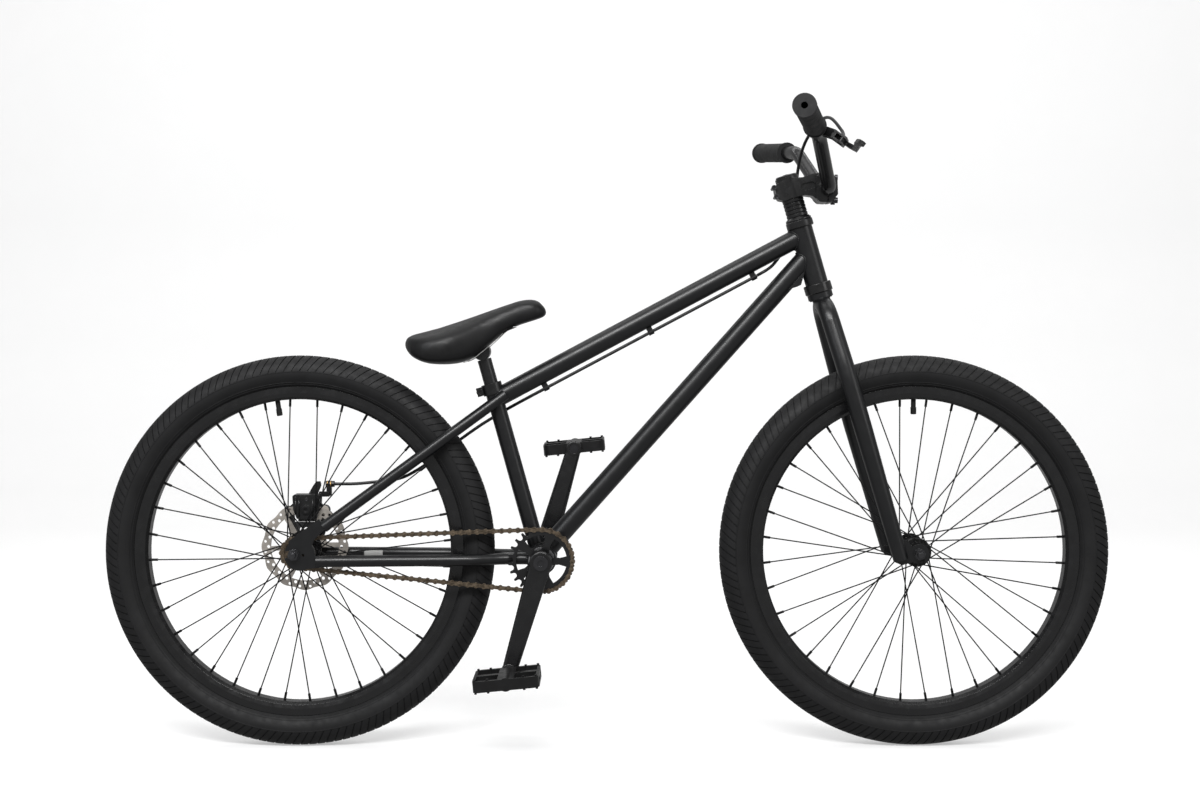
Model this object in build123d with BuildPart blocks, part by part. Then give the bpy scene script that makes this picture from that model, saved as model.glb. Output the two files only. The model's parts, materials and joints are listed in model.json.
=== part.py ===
from build123d import *
import math
import os

# ----------------------------------------------------------------------------
# A 24 inch BMX cruiser.  Millimetres.  +X forward, +Y to the rider's left,
# +Z up.  The origin is on the ground, midway between the axles, on the
# bicycle's middle plane.  The drive side is -Y.
# ----------------------------------------------------------------------------
os.makedirs("parts", exist_ok=True)

# wheels
AXLE_X = 485.5          # each axle's distance from the origin
AXLE_Z = 308.0          # axle height, the tyre's outer radius
TYRE_R = 308.0
TYRE_HALF = 27.0        # half of the tyre's width
TYRE_WALL = 3.2
RIM_OUT = 259.5
RIM_IN = 238.8
SPOKES = 36
SPOKE_R = 1.0
SPOKE_PCD_R = 19.0
FLANGE_R = 22.5
FRONT_OLD = 100.0
REAR_OLD = 110.0
AXLE_R = 5.0
AXLE_TIP_R = 4.75       # the free ends past the nuts
AXLE_END = 73.0
REAR_AXLE_END = 78.0

# frame
BB = (-102.4, 296.0)
BB_R = 23.0
BB_HALF = 34.0
SEAT_R = 13.0
SEAT_BORE = 11.15
TOP_R = 15.0
DOWN_R = 16.0
HEAD_R = 18.0
HEAD_BORE = 15.5
HEAD_ANGLE = 16.0       # degrees from vertical
STEERER_R = 14.3

# drive
PITCH = 12.7
RING_TEETH = 24
COG_TEETH = 11
LINKS = 78
CHAIN_Y = -40.0
ROLLER_R = 3.8
CRANK = 175.0
CRANK_ANGLE = 16.2      # right arm, degrees behind straight down

# bars and seat
BAR_R = 11.1
POST_R = 11.1
ROTOR_R = 70.0

# ----------------------------------------------------------------------------
# helpers: round bars, and points on the steering axis
# ----------------------------------------------------------------------------
def cyl(p, q, r, mode=Mode.ADD):
    p, q = Vector(*p), Vector(*q)
    with Locations(Plane(origin=(p + q) * 0.5, z_dir=q - p).location):
        Cylinder(r, (q - p).length, mode=mode)


def rod(p, q, r):
    """A loose round bar, for cutting with."""
    p, q = Vector(*p), Vector(*q)
    return Plane(origin=(p + q) * 0.5, z_dir=q - p) * Cylinder(r, (q - p).length, mode=Mode.PRIVATE)


SA, CA = math.sin(math.radians(HEAD_ANGLE)), math.cos(math.radians(HEAD_ANGLE))


def steer(s, t=0.0, y=0.0):
    """A point s up the steering axis and t in front of it."""
    return (316.5 - SA * s + CA * t, y, 785.3 + CA * s + SA * t)


def seat(s, t=0.0, y=0.0):
    """A point s up the seat tube's axis from the bottom bracket's height."""
    n = math.hypot(0.2813, 1.0)
    return (-106.2 - 0.2813 / n * s + t / n, y, 296.0 + s / n + 0.2813 / n * t)


def polar(cx, cz, r, a, y=0.0):
    return (cx + r * math.cos(math.radians(a)), y, cz + r * math.sin(math.radians(a)))


RA, FA = (-AXLE_X, AXLE_Z), (AXLE_X, AXLE_Z)

# solid cores of the tubes, for mitring their neighbours
seat_core = rod(seat(-10), seat(290), SEAT_R)
top_core = rod((-180.0, 0, 545.5), (310.1, 0, 806.5), TOP_R)
down_core = rod((-106.9, 0, 296.0), (319.0, 0, 774.5), DOWN_R)
head_core = rod(steer(-57.7), steer(34.5), HEAD_R)
head_core_long = rod(steer(-70), steer(48), HEAD_R)
shell_core = rod((BB[0], -BB_HALF, BB[1]), (BB[0], BB_HALF, BB[1]), BB_R)

# ----------------------------------------------------------------------------
# frame tubes
# ----------------------------------------------------------------------------
with BuildPart() as head_tube:
    cyl(steer(-57.7), steer(34.5), HEAD_R)
    cyl(steer(-60), steer(40), HEAD_BORE, Mode.SUBTRACT)
head_tube.part.label = "head_tube"
export_step(head_tube.part, "parts/head_tube.step")

with BuildPart() as seat_tube:
    cyl(seat(4), seat(283), SEAT_R)
    cyl(seat(-20), seat(300), SEAT_BORE, Mode.SUBTRACT)
    add(shell_core, mode=Mode.SUBTRACT)
seat_tube.part.label = "seat_tube"
export_step(seat_tube.part, "parts/seat_tube.step")

with BuildPart() as top_tube:
    cyl((-172.0, 0, 549.76), (304.0, 0, 803.25), TOP_R)
    cyl((-180.0, 0, 545.5), (330.1, 0, 817.15), TOP_R - 1.6, Mode.SUBTRACT)
    add([seat_core, head_core_long], mode=Mode.SUBTRACT)
top_tube.part.label = "top_tube"
export_step(top_tube.part, "parts/top_tube.step")

with BuildPart() as down_tube:
    cyl((-106.9, 0, 296.0), (319.0, 0, 774.5), DOWN_R)
    cyl((-106.9, 0, 296.0), (330.0, 0, 786.86), DOWN_R - 1.6, Mode.SUBTRACT)
    add([shell_core, seat_core, head_core], mode=Mode.SUBTRACT)
down_tube.part.label = "down_tube"
export_step(down_tube.part, "parts/down_tube.step")

with BuildPart() as bottom_bracket_shell:
    cyl((BB[0], -BB_HALF, BB[1]), (BB[0], BB_HALF, BB[1]), BB_R)
    cyl((BB[0], -40, BB[1]), (BB[0], 40, BB[1]), 20.6, Mode.SUBTRACT)
bottom_bracket_shell.part.label = "bottom_bracket_shell"
export_step(bottom_bracket_shell.part, "parts/bottom_bracket_shell.step")

with BuildPart() as bottom_bracket_bearings:
    for y0, y1 in ((-33.9, -22.9), (22.9, 33.9)):
        cyl((BB[0], y0, BB[1]), (BB[0], y1, BB[1]), 20.55)
    cyl((BB[0], -40, BB[1]), (BB[0], 40, BB[1]), 9.56, Mode.SUBTRACT)
bottom_bracket_bearings.part.label = "bottom_bracket_bearings"
export_step(bottom_bracket_bearings.part, "parts/bottom_bracket_bearings.step")

# box gusset under the down tube at the head tube
with BuildPart() as head_gusset:
    with BuildSketch(Plane.XZ.offset(-11)):
        Polygon((272, 716), (300, 748), (318, 768), (306.5, 727.5), (300, 724.5), align=None)
    extrude(amount=22)
    add([down_core, head_core], mode=Mode.SUBTRACT)
head_gusset.part.label = "head_gusset"
export_step(head_gusset.part, "parts/head_gusset.step")

# rear dropout plates: a round end about the axle, arms to both stays, an open
# slot to the rear, and a small adjuster hole ahead of the axle
with BuildPart() as rear_dropouts:
    with BuildSketch(Plane.XZ.offset(55)):
        with Locations((RA[0] + 9, RA[1] - 1)):
            Circle(24)
        with BuildLine():
            Polyline((-494, 329), (-447, 363), (-436.5, 350), (-455, 330), (-460, 316), (-455, 306),
                     (-436, 305), (-436, 289), (-470, 285), (-494, 300), (-494, 329))
        make_face()
        with Locations((RA[0] - 15, RA[1])):
            Rectangle(30, 2 * AXLE_R + 0.4, mode=Mode.SUBTRACT)
        with Locations(RA):
            Circle(AXLE_R + 0.2, mode=Mode.SUBTRACT)
        with Locations((RA[0] + 14, RA[1] - 1)):
            Circle(2.1, mode=Mode.SUBTRACT)
    extrude(amount=6)
    mirror(about=Plane.XZ)
rear_dropouts.part.label = "rear_dropouts"
export_step(rear_dropouts.part, "parts/rear_dropouts.step")

plate_box = Pos(-465, 0, 320) * Box(80, 2 * 61.0, 100) - Pos(-465, 0, 320) * Box(90, 2 * 55.0, 110)
plates = rear_dropouts.part

with BuildPart() as chainstays:
    with BuildLine(Plane.XY):
        FilletPolyline((-118, -24, 297), (-162, -24.5, 297), (-212, -41.5, 297), (-452, -57.5, 297),
                       radius=[110, 110])
    with BuildSketch(Plane(origin=(-118, -24, 297), z_dir=(-44, -0.5, 0))):
        Circle(9.0)
    sweep()
    add([shell_core, seat_core, plates], mode=Mode.SUBTRACT)
    mirror(about=Plane.XZ)
chainstays.part.label = "chainstays"
export_step(chainstays.part, "parts/chainstays.step")

with BuildPart() as seatstays:
    with BuildLine():
        FilletPolyline((-160, -20.5, 554.8), (-236, -38, 499.3), (-440, -57.5, 350.2), radius=[260])
    with BuildSketch(Plane(origin=(-160, -20.5, 554.8), z_dir=(-76, -17.5, -55.5))):
        Circle(8.75)
    sweep()
    add([seat_core, top_core, plates], mode=Mode.SUBTRACT)
    mirror(about=Plane.XZ)
seatstays.part.label = "seatstays"
export_step(seatstays.part, "parts/seatstays.step")

# ----------------------------------------------------------------------------
# headset
# ----------------------------------------------------------------------------
with BuildPart() as headset_cups:
    cyl(steer(-73), steer(-57.7), 22)
    cyl(steer(-57.7), steer(-46), HEAD_BORE - 0.03)
    cyl(steer(34.5), steer(46), 21.5)
    cyl(steer(22.8), steer(34.5), HEAD_BORE - 0.03)
    cyl(steer(-80), steer(60), STEERER_R + 0.5, Mode.SUBTRACT)
    cyl(steer(-74), steer(-64), 19.0, Mode.SUBTRACT)
    cyl(steer(38), steer(47), 19.0, Mode.SUBTRACT)
    chamfer(headset_cups.edges().filter_by(GeomType.CIRCLE).filter_by(lambda e: e.radius > 21.4), 1.2)
headset_cups.part.label = "headset_cups"
export_step(headset_cups.part, "parts/headset_cups.step")

with BuildPart() as headset_bearings:
    cyl(steer(-72.8), steer(-64.05), 18.95)
    cyl(steer(38.05), steer(45.8), 18.95)
    cyl(steer(-80), steer(60), STEERER_R + 0.06, Mode.SUBTRACT)
headset_bearings.part.label = "headset_bearings"
export_step(headset_bearings.part, "parts/headset_bearings.step")

with BuildPart() as headset_spacers:
    cyl(steer(46.4), steer(51.9), 20.5)
    chamfer(headset_spacers.faces().sort_by(Axis(steer(0), (-SA, 0, CA)))[-1].edges(), 3.4)
    for k in range(5):
        cyl(steer(52 + 6 * k), steer(57.9 + 6 * k), 17)
    cyl(steer(40), steer(90), STEERER_R + 0.05, Mode.SUBTRACT)
    chamfer(headset_spacers.edges().filter_by(GeomType.CIRCLE).filter_by(lambda e: abs(e.radius - 17) < 0.01), 0.9)
headset_spacers.part.label = "headset_spacers"
export_step(headset_spacers.part, "parts/headset_spacers.step")

# ----------------------------------------------------------------------------
# fork
# ----------------------------------------------------------------------------
with BuildPart() as fork_steerer:
    cyl(steer(-96), steer(115.5), STEERER_R)
    cyl(steer(-82), steer(-73.3), 20.0)
    cyl(steer(-83.5), steer(-82), 18.0)
    cyl(steer(-100), steer(130), 12.0, Mode.SUBTRACT)
fork_steerer.part.label = "fork_steerer"
export_step(fork_steerer.part, "parts/fork_steerer.step")

crown_core = rod(steer(-99), steer(-60), 20.0)
steerer_core = rod(steer(-96), steer(0), STEERER_R)

with BuildPart() as fork_legs:
    with BuildLine():
        FilletPolyline(steer(-92, 0, -4), steer(-97, 0, -36), steer(-205, 0, -60), steer(-300, 0, -60.5),
                       radius=[34, 240])
    with BuildSketch(Plane(origin=steer(-92, 0, -4), z_dir=Vector(*steer(-97, 0, -36)) - Vector(*steer(-92, 0, -4)))):
        Circle(14.3)
    sweep()
    with BuildSketch(Plane(origin=steer(-300, 0, -60.5), z_dir=Vector(*steer(-300, 0, -60.5)) - Vector(*steer(-205, 0, -60)))):
        Circle(14.3)
    extrude(amount=205.0, taper=0.72)
    # dropout plate, forward of the leg's end
    with BuildSketch(Plane.XZ.offset(FRONT_OLD / 2)):
        with Locations(FA):
            Circle(15.5)
        with BuildLine():
            Polyline((474, 322), (452, 338), (446, 296), (458, 291), (474, 295), (474, 322))
        make_face()
        with Locations(FA):
            Circle(AXLE_R + 0.2, mode=Mode.SUBTRACT)
        with Locations((FA[0] + 2, FA[1] - 12)):
            Rectangle(2 * AXLE_R + 0.4, 24, rotation=-10, mode=Mode.SUBTRACT)
    extrude(amount=6)
    add([rod(steer(-83.5), steer(-40), 20.1), steerer_core], mode=Mode.SUBTRACT)
    with Locations((0, 150, 500)):
        Box(1400, 300, 1400, mode=Mode.SUBTRACT)
    mirror(about=Plane.XZ)
fork_legs.part.label = "fork_legs"
export_step(fork_legs.part, "parts/fork_legs.step")

# ----------------------------------------------------------------------------
# stem, cap and bars
# ----------------------------------------------------------------------------
BAR = (347.0, 878.5)
stem_side = [(264.5, 880), (268, 886), (272, 889.5), (287.6, 896), (307.7, 897), (322, 902), (336, 904.5),
             (346.2, 904.5), (346.2, 857), (335, 857.5), (323.9, 867.5), (311.8, 869), (296, 865.5), (280.5, 859.5),
             (272, 861), (267, 866)]
with BuildPart() as stem:
    with BuildSketch(Plane.XZ.offset(-17.5)):
        Polygon(*stem_side, align=None)
    extrude(amount=35)
    cyl(steer(82.2), steer(117), 18.6)
    with BuildSketch(Plane.XZ.offset(-26)):
        Polygon((329, 897), (336, 904.5), (346.2, 904.5), (346.2, 857), (335, 857.5), (329, 863), align=None)
    extrude(amount=52)
    # forged pocket on each side of the neck
    for y in (-17.5, 17.5):
        with BuildSketch(Plane.XZ.offset(-y)):
            with Locations(Location((317.5, 883.5), (0, 0, 12))):
                SlotCenterToCenter(12, 11)
        extrude(amount=3, both=True, mode=Mode.SUBTRACT)
    cyl(steer(70), steer(130), STEERER_R + 0.05, Mode.SUBTRACT)
    cyl(steer(70), steer(82.1), 17.6, Mode.SUBTRACT)
    cyl((BAR[0], -30, BAR[1]), (BAR[0], 30, BAR[1]), BAR_R + 0.05, Mode.SUBTRACT)
    # pinch slot behind the steerer
    with Locations(Location(steer(99.5, -22), (0, -HEAD_ANGLE, 0))):
        Box(20, 2.2, 50, mode=Mode.SUBTRACT)
    # bolt holes: two across the pinch slot and four into the bar clamp
    for s in (91.5, 106):
        cyl(steer(s, -25.2, -30), steer(s, -25.2, 30), 2.6, Mode.SUBTRACT)
    for y in (-18.5, 18.5):
        for z in (896.5, 860.5):
            cyl((330, y, z), (350, y, z), 2.6, Mode.SUBTRACT)
stem.part.label = "stem"
export_step(stem.part, "parts/stem.step")

with BuildPart() as stem_faceplate:
    with BuildSketch(Plane.XZ.offset(-26)):
        Polygon((348.2, 904), (354, 903), (362, 892), (363, 870), (354, 857.5), (348.2, 857), align=None)
    extrude(amount=52)
    with Locations((362, 0, 880)):
        Box(12, 22, 60, mode=Mode.SUBTRACT)
    with BuildSketch(Plane.XZ.offset(-14)):
        with Locations(BAR):
            Circle(15.2)
        with Locations((BAR[0] - 8.8, BAR[1])):
            Rectangle(20, 40, mode=Mode.SUBTRACT)
    extrude(amount=28)
    cyl((BAR[0], -30, BAR[1]), (BAR[0], 30, BAR[1]), BAR_R + 0.05, Mode.SUBTRACT)
    for y in (-18.5, 18.5):
        for z in (896.5, 860.5):
            cyl((346, y, z), (370, y, z), 3.1, Mode.SUBTRACT)
            cyl((358.5 if z > 880 else 356.7, y, z), (370, y, z), 4.8, Mode.SUBTRACT)
stem_faceplate.part.label = "stem_faceplate"
export_step(stem_faceplate.part, "parts/stem_faceplate.step")

with BuildPart() as stem_bolts:
    for s in (91.5, 106):
        cyl(steer(s, -25.2, -20.5), steer(s, -25.2, 16), 2.5)
        cyl(steer(s, -25.2, -21.5), steer(s, -25.2, -17.6), 4.2)
        cyl(steer(s, -25.2, -22), steer(s, -25.2, -19), 2.2, Mode.SUBTRACT)
    for y in (-18.5, 18.5):
        for z in (896.5, 860.5):
            cyl((334, y, z), (358, y, z), 2.5)
            cyl((358.6 if z > 880 else 356.8, y, z), (363, y, z), 4.6)
            cyl((356, y, z), (359, y, z), 2.5)
            cyl((360.6, y, z), (364, y, z), 2.4, Mode.SUBTRACT)
stem_bolts.part.label = "stem_bolts"
export_step(stem_bolts.part, "parts/stem_bolts.step")

with BuildPart() as headset_top_cap:
    cyl(steer(117.2), steer(120.4), 17)
    chamfer(headset_top_cap.faces().sort_by(Axis(steer(0), (-SA, 0, CA)))[-1].edges(), 1.2)
    cyl(steer(110), steer(117.2), 11.8)
    cyl(steer(98), steer(112), 3)
    cyl(steer(118.4), steer(122), 5, Mode.SUBTRACT)
    cyl(steer(118.2), steer(121.6), 4.4)
    cyl(steer(119.6), steer(123), 2.4, Mode.SUBTRACT)
headset_top_cap.part.label = "headset_top_cap"
export_step(headset_top_cap.part, "parts/headset_top_cap.step")

bar_points = [(276, 337, 969.4), (317, 150, 952), (347, 42, 878.5), (347, -42, 878.5), (317, -150, 952), (276, -337, 969.4)]
with BuildPart() as handlebar:
    with BuildLine():
        FilletPolyline(*bar_points, radius=[62, 42, 42, 62])
    with BuildSketch(Plane(origin=bar_points[0], z_dir=Vector(*bar_points[1]) - Vector(*bar_points[0]))):
        Circle(BAR_R)
        Circle(BAR_R - 2.0, mode=Mode.SUBTRACT)
    sweep()
handlebar.part.label = "handlebar"
export_step(handlebar.part, "parts/handlebar.step")

GRIP_D = Vector(276 - 317, 337 - 150, 969.4 - 952).normalized()


def on_bar(d, side):
    """A point on the straight grip part, d from the upper bend's corner."""
    return (317 + GRIP_D.X * d, side * (150 + GRIP_D.Y * d), 952 + GRIP_D.Z * d)


GRIP_0, GRIP_1 = 52.0, 195.5
with BuildPart() as grips:
    for side in (-1, 1):
        cyl(on_bar(GRIP_0, side), on_bar(GRIP_1 + 3, side), 16.2)
        cyl(on_bar(GRIP_0, side), on_bar(GRIP_0 + 4, side), 17.6)
        cyl(on_bar(GRIP_1 - 3, side), on_bar(GRIP_1 + 3, side), 17.4)
    for side in (-1, 1):
        cyl(on_bar(GRIP_0 - 1, side), on_bar(193.4, side), BAR_R + 0.05, Mode.SUBTRACT)
        cyl(on_bar(190, side), on_bar(205, side), 5.0, Mode.SUBTRACT)
grips.part.label = "grips"
export_step(grips.part, "parts/grips.step")

# ----------------------------------------------------------------------------
# brake lever, on the right
# ----------------------------------------------------------------------------
BAR_OUT = Vector(*on_bar(1, -1)) - Vector(*on_bar(0, -1))      # along the right grip, outward
LEVER_DROP = 37.0
down = Vector(math.cos(math.radians(LEVER_DROP)), 0, -math.sin(math.radians(LEVER_DROP)))
LD = (down - BAR_OUT * down.dot(BAR_OUT)).normalized()         # the lever body points forward and down
LZ = BAR_OUT.cross(LD)                                         # across the lever body, upward
INW = BAR_OUT * -1
with BuildPart() as lever_clamp:
    a, b = on_bar(32.5, -1), on_bar(44.5, -1)
    cyl(a, b, 15.5)
    mid = Vector(*on_bar(38.5, -1))
    with BuildSketch(Plane(origin=mid + LD * 9 + LZ * 2, x_dir=INW, z_dir=LD)):
        Rectangle(12, 15)
    with BuildSketch(Plane(origin=mid + LD * 28 + LZ * 7, x_dir=INW, z_dir=LD)):
        with Locations((-4, 0)):
            Rectangle(24, 13)
    loft()
    with BuildSketch(Plane(origin=mid + LD * 28 + LZ * 7, x_dir=INW, z_dir=LD)):
        with Locations((-4, 0)):
            Rectangle(24, 13)
    extrude(amount=22)
    # slot for the blade, and the cable adjuster's barrel on the inner side
    with Locations(Plane(origin=mid + LD * 44 + LZ * 7, x_dir=INW, z_dir=LD).location):
        with Locations((-10, 0, 0)):
            Box(26, 7.0, 22, mode=Mode.SUBTRACT)
    cyl(on_bar(16.5, -1), on_bar(62, -1), BAR_R + 0.05, Mode.SUBTRACT)
lever_clamp.part.label = "lever_clamp"

# blade and pivot are placed from the clamp's own directions
pivot = mid + LD * 44 + BAR_OUT * 8 + LZ * 7
barrel = mid + LD * 34 + INW * 7.9 + LZ * 7
BARREL_D = (INW - LD * 0.05 + LZ * 0.36).normalized()
with BuildPart() as lever_clamp_full:
    add(lever_clamp.part)
    cyl(tuple(barrel), tuple(barrel + BARREL_D * 15), 4.6)
    cyl(tuple(barrel + BARREL_D * 4), tuple(barrel + BARREL_D * 9), 6.4)
    cyl(tuple(pivot - LZ * 7.2), tuple(pivot + LZ * 7.2), 2.5)
    cyl(tuple(pivot - LZ * 7.6), tuple(pivot - LZ * 6.4), 4.0)
    cyl(tuple(pivot + LZ * 6.4), tuple(pivot + LZ * 7.6), 4.0)
lever_clamp_full.part.label = "lever_clamp"
export_step(lever_clamp_full.part, "parts/lever_clamp.step")
print("lever pivot", tuple(pivot), "axis", tuple(LZ))

with BuildPart() as brake_lever:
    with BuildSketch(Plane(origin=pivot - LZ * 3.2, x_dir=INW, z_dir=LZ)):
        Circle(6.0)
        with BuildLine():
            blade = [(2, 3), (-1, 10), (-12, 21), (-54, 29), (-98, 34), (-119, 42), (-123, 49), (-117, 52),
                     (-98, 43), (-54, 38), (-8, 30), (8, 14), (6, 0), (2, 3)]
            Polyline(*[(x, -y) for x, y in blade])
        make_face()
    extrude(amount=6.4)
    cyl(tuple(pivot - LZ * 9), tuple(pivot + LZ * 9), 2.56, Mode.SUBTRACT)
brake_lever.part.label = "brake_lever"
export_step(brake_lever.part, "parts/brake_lever.step")

# ----------------------------------------------------------------------------
# seat clamp, post and saddle
# ----------------------------------------------------------------------------
with BuildPart() as seat_clamp:
    cyl(seat(269), seat(286.5), 16.2)
    with Locations(Location(seat(277.8, -18.5), (0, -15.71, 0))):
        Box(13, 15, 14)
    cyl(seat(255), seat(283.2), SEAT_R + 0.03, Mode.SUBTRACT)
    cyl(seat(280), seat(290), POST_R + 0.05, Mode.SUBTRACT)
    with Locations(Location(seat(278, -22), (0, -15.71, 0))):
        Box(22, 2.4, 30, mode=Mode.SUBTRACT)
    cyl(seat(277.8, -20, -20), seat(277.8, -20, 20), 2.7, Mode.SUBTRACT)
    add([top_core, seatstays.part], mode=Mode.SUBTRACT)
with BuildPart() as seat_clamp_set:
    add(seat_clamp.part)
    cyl(seat(277.8, -20, -11), seat(277.8, -20, 9.6), 2.6)
    cyl(seat(277.8, -20, -12), seat(277.8, -20, -7.6), 5.4)
    cyl(seat(277.8, -20, -13), seat(277.8, -20, -10), 2.5, Mode.SUBTRACT)
    cyl(seat(277.8, -20, 7.6), seat(277.8, -20, 11), 5.0)
seat_clamp_set.part.label = "seat_clamp"
export_step(seat_clamp_set.part, "parts/seat_clamp.step")

HEAD = seat(338.5)
with BuildPart() as seat_post:
    cyl(seat(165), seat(326), POST_R)
    cyl((HEAD[0], -17, HEAD[2]), (HEAD[0], 17, HEAD[2]), 13.4)
    cyl(seat(160), seat(318), POST_R - 1.8, Mode.SUBTRACT)
    cyl(seat(320), seat(360), 4.2, Mode.SUBTRACT)
seat_post.part.label = "seat_post"
export_step(seat_post.part, "parts/seat_post.step")

pad_top = [(-319.6, 634.2), (-318.3, 640.7), (-313, 647.4), (-302.5, 650.4), (-286.8, 653.1), (-263.2, 658.6),
           (-236.9, 667), (-210.6, 676.2), (-184.3, 686.7), (-158, 696.5), (-137.1, 703.8), (-118.7, 706.5),
           (-108.1, 702.5), (-98.9, 693.3), (-94.1, 684.1), (-94.9, 678.8)]
pad_low = [(-102.8, 675), (-123.9, 668.3), (-144.8, 661.8), (-163.2, 652.6), (-176.3, 642), (-192.2, 638.6),
           (-210.6, 630.2), (-223.7, 619.2), (-236.9, 606.3), (-255.3, 601.5), (-276.2, 602.3), (-294.7, 606.5),
           (-307.7, 614.4), (-314.4, 622.4)]
with BuildPart() as saddle_pad:
    with BuildSketch(Plane.XZ.offset(-70)):
        Polygon(*(pad_top + pad_low), align=None)
    extrude(amount=140)
    with BuildSketch(Plane(origin=(-190, 0, 500), x_dir=(1, 0, 0), z_dir=(0, 0, 1))):
        with BuildLine():
            Spline((-130, 0), (-122, 44), (-95, 64), (-62, 66), (-25, 50), (15, 33), (55, 27), (85, 24), (96, 0))
            Spline((96, 0), (85, -24), (55, -27), (15, -33), (-25, -50), (-62, -66), (-95, -64), (-122, -44), (-130, 0))
        make_face()
    extrude(amount=300, mode=Mode.INTERSECT)
    # hollow underneath for the base
    with BuildSketch(Plane.XZ.offset(-30)):
        Polygon((-226, 590), (-226, 624), (-200, 650), (-168, 662), (-140, 662), (-140, 590), align=None)
    extrude(amount=60, mode=Mode.SUBTRACT)
    cyl(seat(345), seat(362.5), 6.8, Mode.SUBTRACT)
saddle_pad.part.label = "saddle_pad"
export_step(saddle_pad.part, "parts/saddle_pad.step")

with BuildPart() as saddle_base:
    with BuildSketch(Plane.XZ.offset(-20)):
        Polygon((-224, 614), (-224, 623.2), (-199.3, 649), (-167.8, 660.8), (-143, 660.8), (-158, 655), (-176, 641),
                (-192, 627), (-211, 612), align=None)
    extrude(amount=40)
    cyl((HEAD[0], -25, HEAD[2]), (HEAD[0], 25, HEAD[2]), 13.7, Mode.SUBTRACT)
    cyl(seat(340), seat(380), 3.3, Mode.SUBTRACT)
    cyl(seat(356.9), seat(380), 6.4, Mode.SUBTRACT)
saddle_base.part.label = "saddle_base"
export_step(saddle_base.part, "parts/saddle_base.step")

with BuildPart() as saddle_bolt:
    cyl(seat(354.4), seat(358), 3.2)
    cyl(seat(357), seat(361), 6.2)
    cyl(seat(359), seat(362), 2.6, Mode.SUBTRACT)
saddle_bolt.part.label = "saddle_bolt"
export_step(saddle_bolt.part, "parts/saddle_bolt.step")

# ----------------------------------------------------------------------------
# wheels
# ----------------------------------------------------------------------------
def spokes_for(c, y_right, y_left, phase):
    """Prototype spokes with their nipples (one per kind) and the rim's holes."""
    kinds, holes = [], []
    for side, yf in ((-1, y_right), (1, y_left)):
        for lead in (1, -1):
            phi = phase + (0 if lead == 1 else 20) + (10 if side == 1 else 0)
            psi = phi + 60 * lead
            off = (3.6 if lead == 1 else 2.6) * lead * side
            foot = polar(c[0], c[1], SPOKE_PCD_R, phi, yf + off)
            tip = polar(c[0], c[1], 243.4, psi, 1.6 * side)
            d = (Vector(*tip) - Vector(*foot)).normalized()
            hole_y = (yf + off, yf - 3.1 * lead * side)
            kinds.append((foot, tip, d, hole_y))
            holes.append((Vector(*tip) - d * 9, Vector(*tip) + d * 1.0))
    return kinds, holes


def about(c):
    return Axis((c[0], 0, c[1]), (0, -1, 0))


def add_spokes(c, kinds):
    for foot, tip, d, hole_y in kinds:
        made = []
        tip_v = Vector(*tip)
        bar = extrude(Plane(origin=foot, z_dir=d) * Circle(SPOKE_R), amount=(tip_v - d * 16 - Vector(*foot)).length)
        elbow = rod((foot[0], hole_y[0], foot[2]), (foot[0], hole_y[1], foot[2]), SPOKE_R)
        sgn = 1 if hole_y[1] > hole_y[0] else -1
        button = rod((foot[0], hole_y[1] - 0.6 * sgn, foot[2]), (foot[0], hole_y[1] + 0.9 * sgn, foot[2]), 1.9)
        nip = rod(tuple(tip_v - d * 15.98), tuple(tip_v - d * 1.5), 2.0) + rod(tuple(tip_v - d * 1.6), tuple(tip_v), 3.1)
        one = (bar + elbow + button).solid()
        nipple = nip.solid()
        for k in range(9):
            made += [one.rotate(about(c), 40 * k), nipple.rotate(about(c), 40 * k)]
        yield from made


# spoke phases put the valve midway between two rim holes
FRONT_PHASE, REAR_PHASE = 85.0, 98.8 - 5.0
FRONT_VALVE, REAR_VALVE = 90.0, 98.8
fk_kinds, fk_holes = spokes_for(FA, -32.0, 32.0, FRONT_PHASE)
rk_kinds, rk_holes = spokes_for(RA, -26.0, 30.0, REAR_PHASE)
front_spokes = Compound(label="front_spokes", children=list(add_spokes(FA, fk_kinds)))
export_step(front_spokes, "parts/front_spokes.step")
rear_spokes = Compound(label="rear_spokes", children=list(add_spokes(RA, rk_kinds)))
export_step(rear_spokes, "parts/rear_spokes.step")


def wheel_plane(c, a=0.0):
    """A plane through the wheel's axle: local x outward at angle a, local y along the axle (+Y)."""
    u = Vector(math.cos(math.radians(a)), 0, math.sin(math.radians(a)))
    return Plane(origin=(c[0], 0, c[1]), x_dir=u, z_dir=u.cross(Vector(0, 1, 0)))


RIM_SECTION = [(RIM_OUT, 16), (RIM_OUT, 13.5), (253.4, 13.5), (252.6, 9.5), (249.3, 8), (249.3, -8), (252.6, -9.5),
               (253.4, -13.5), (RIM_OUT, -13.5), (RIM_OUT, -16), (249, -16), (243, -14.5), (RIM_IN, -9.5),
               (RIM_IN, 9.5), (243, 14.5), (249, 16)]
RIM_HOLLOW = [(241.0, 8.6), (244, 12.4), (249, 13.4), (247.4, 8.6), (247.4, -8.6), (249, -13.4), (244, -12.4), (241.0, -8.6)]


def hole_set(c, holes, r):
    out = []
    for a, b in holes:
        h = rod(tuple(a), tuple(b - (b - a) * 0.25), r)
        out += [h.rotate(about(c), 40 * k) for k in range(9)]
    return out


with BuildPart() as front_rim:
    with BuildSketch(wheel_plane(FA)):
        Polygon(*RIM_SECTION, align=None)
        Polygon(*RIM_HOLLOW, align=None, mode=Mode.SUBTRACT)
    revolve(axis=Axis((FA[0], 0, FA[1]), (0, 1, 0)))
    add(hole_set(FA, fk_holes, 2.3), mode=Mode.SUBTRACT)
    cyl(polar(*FA, 230, FRONT_VALVE), polar(*FA, 256, FRONT_VALVE), 4.3, Mode.SUBTRACT)
front_rim.part.label = "front_rim"
export_step(front_rim.part, "parts/front_rim.step")

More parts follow.
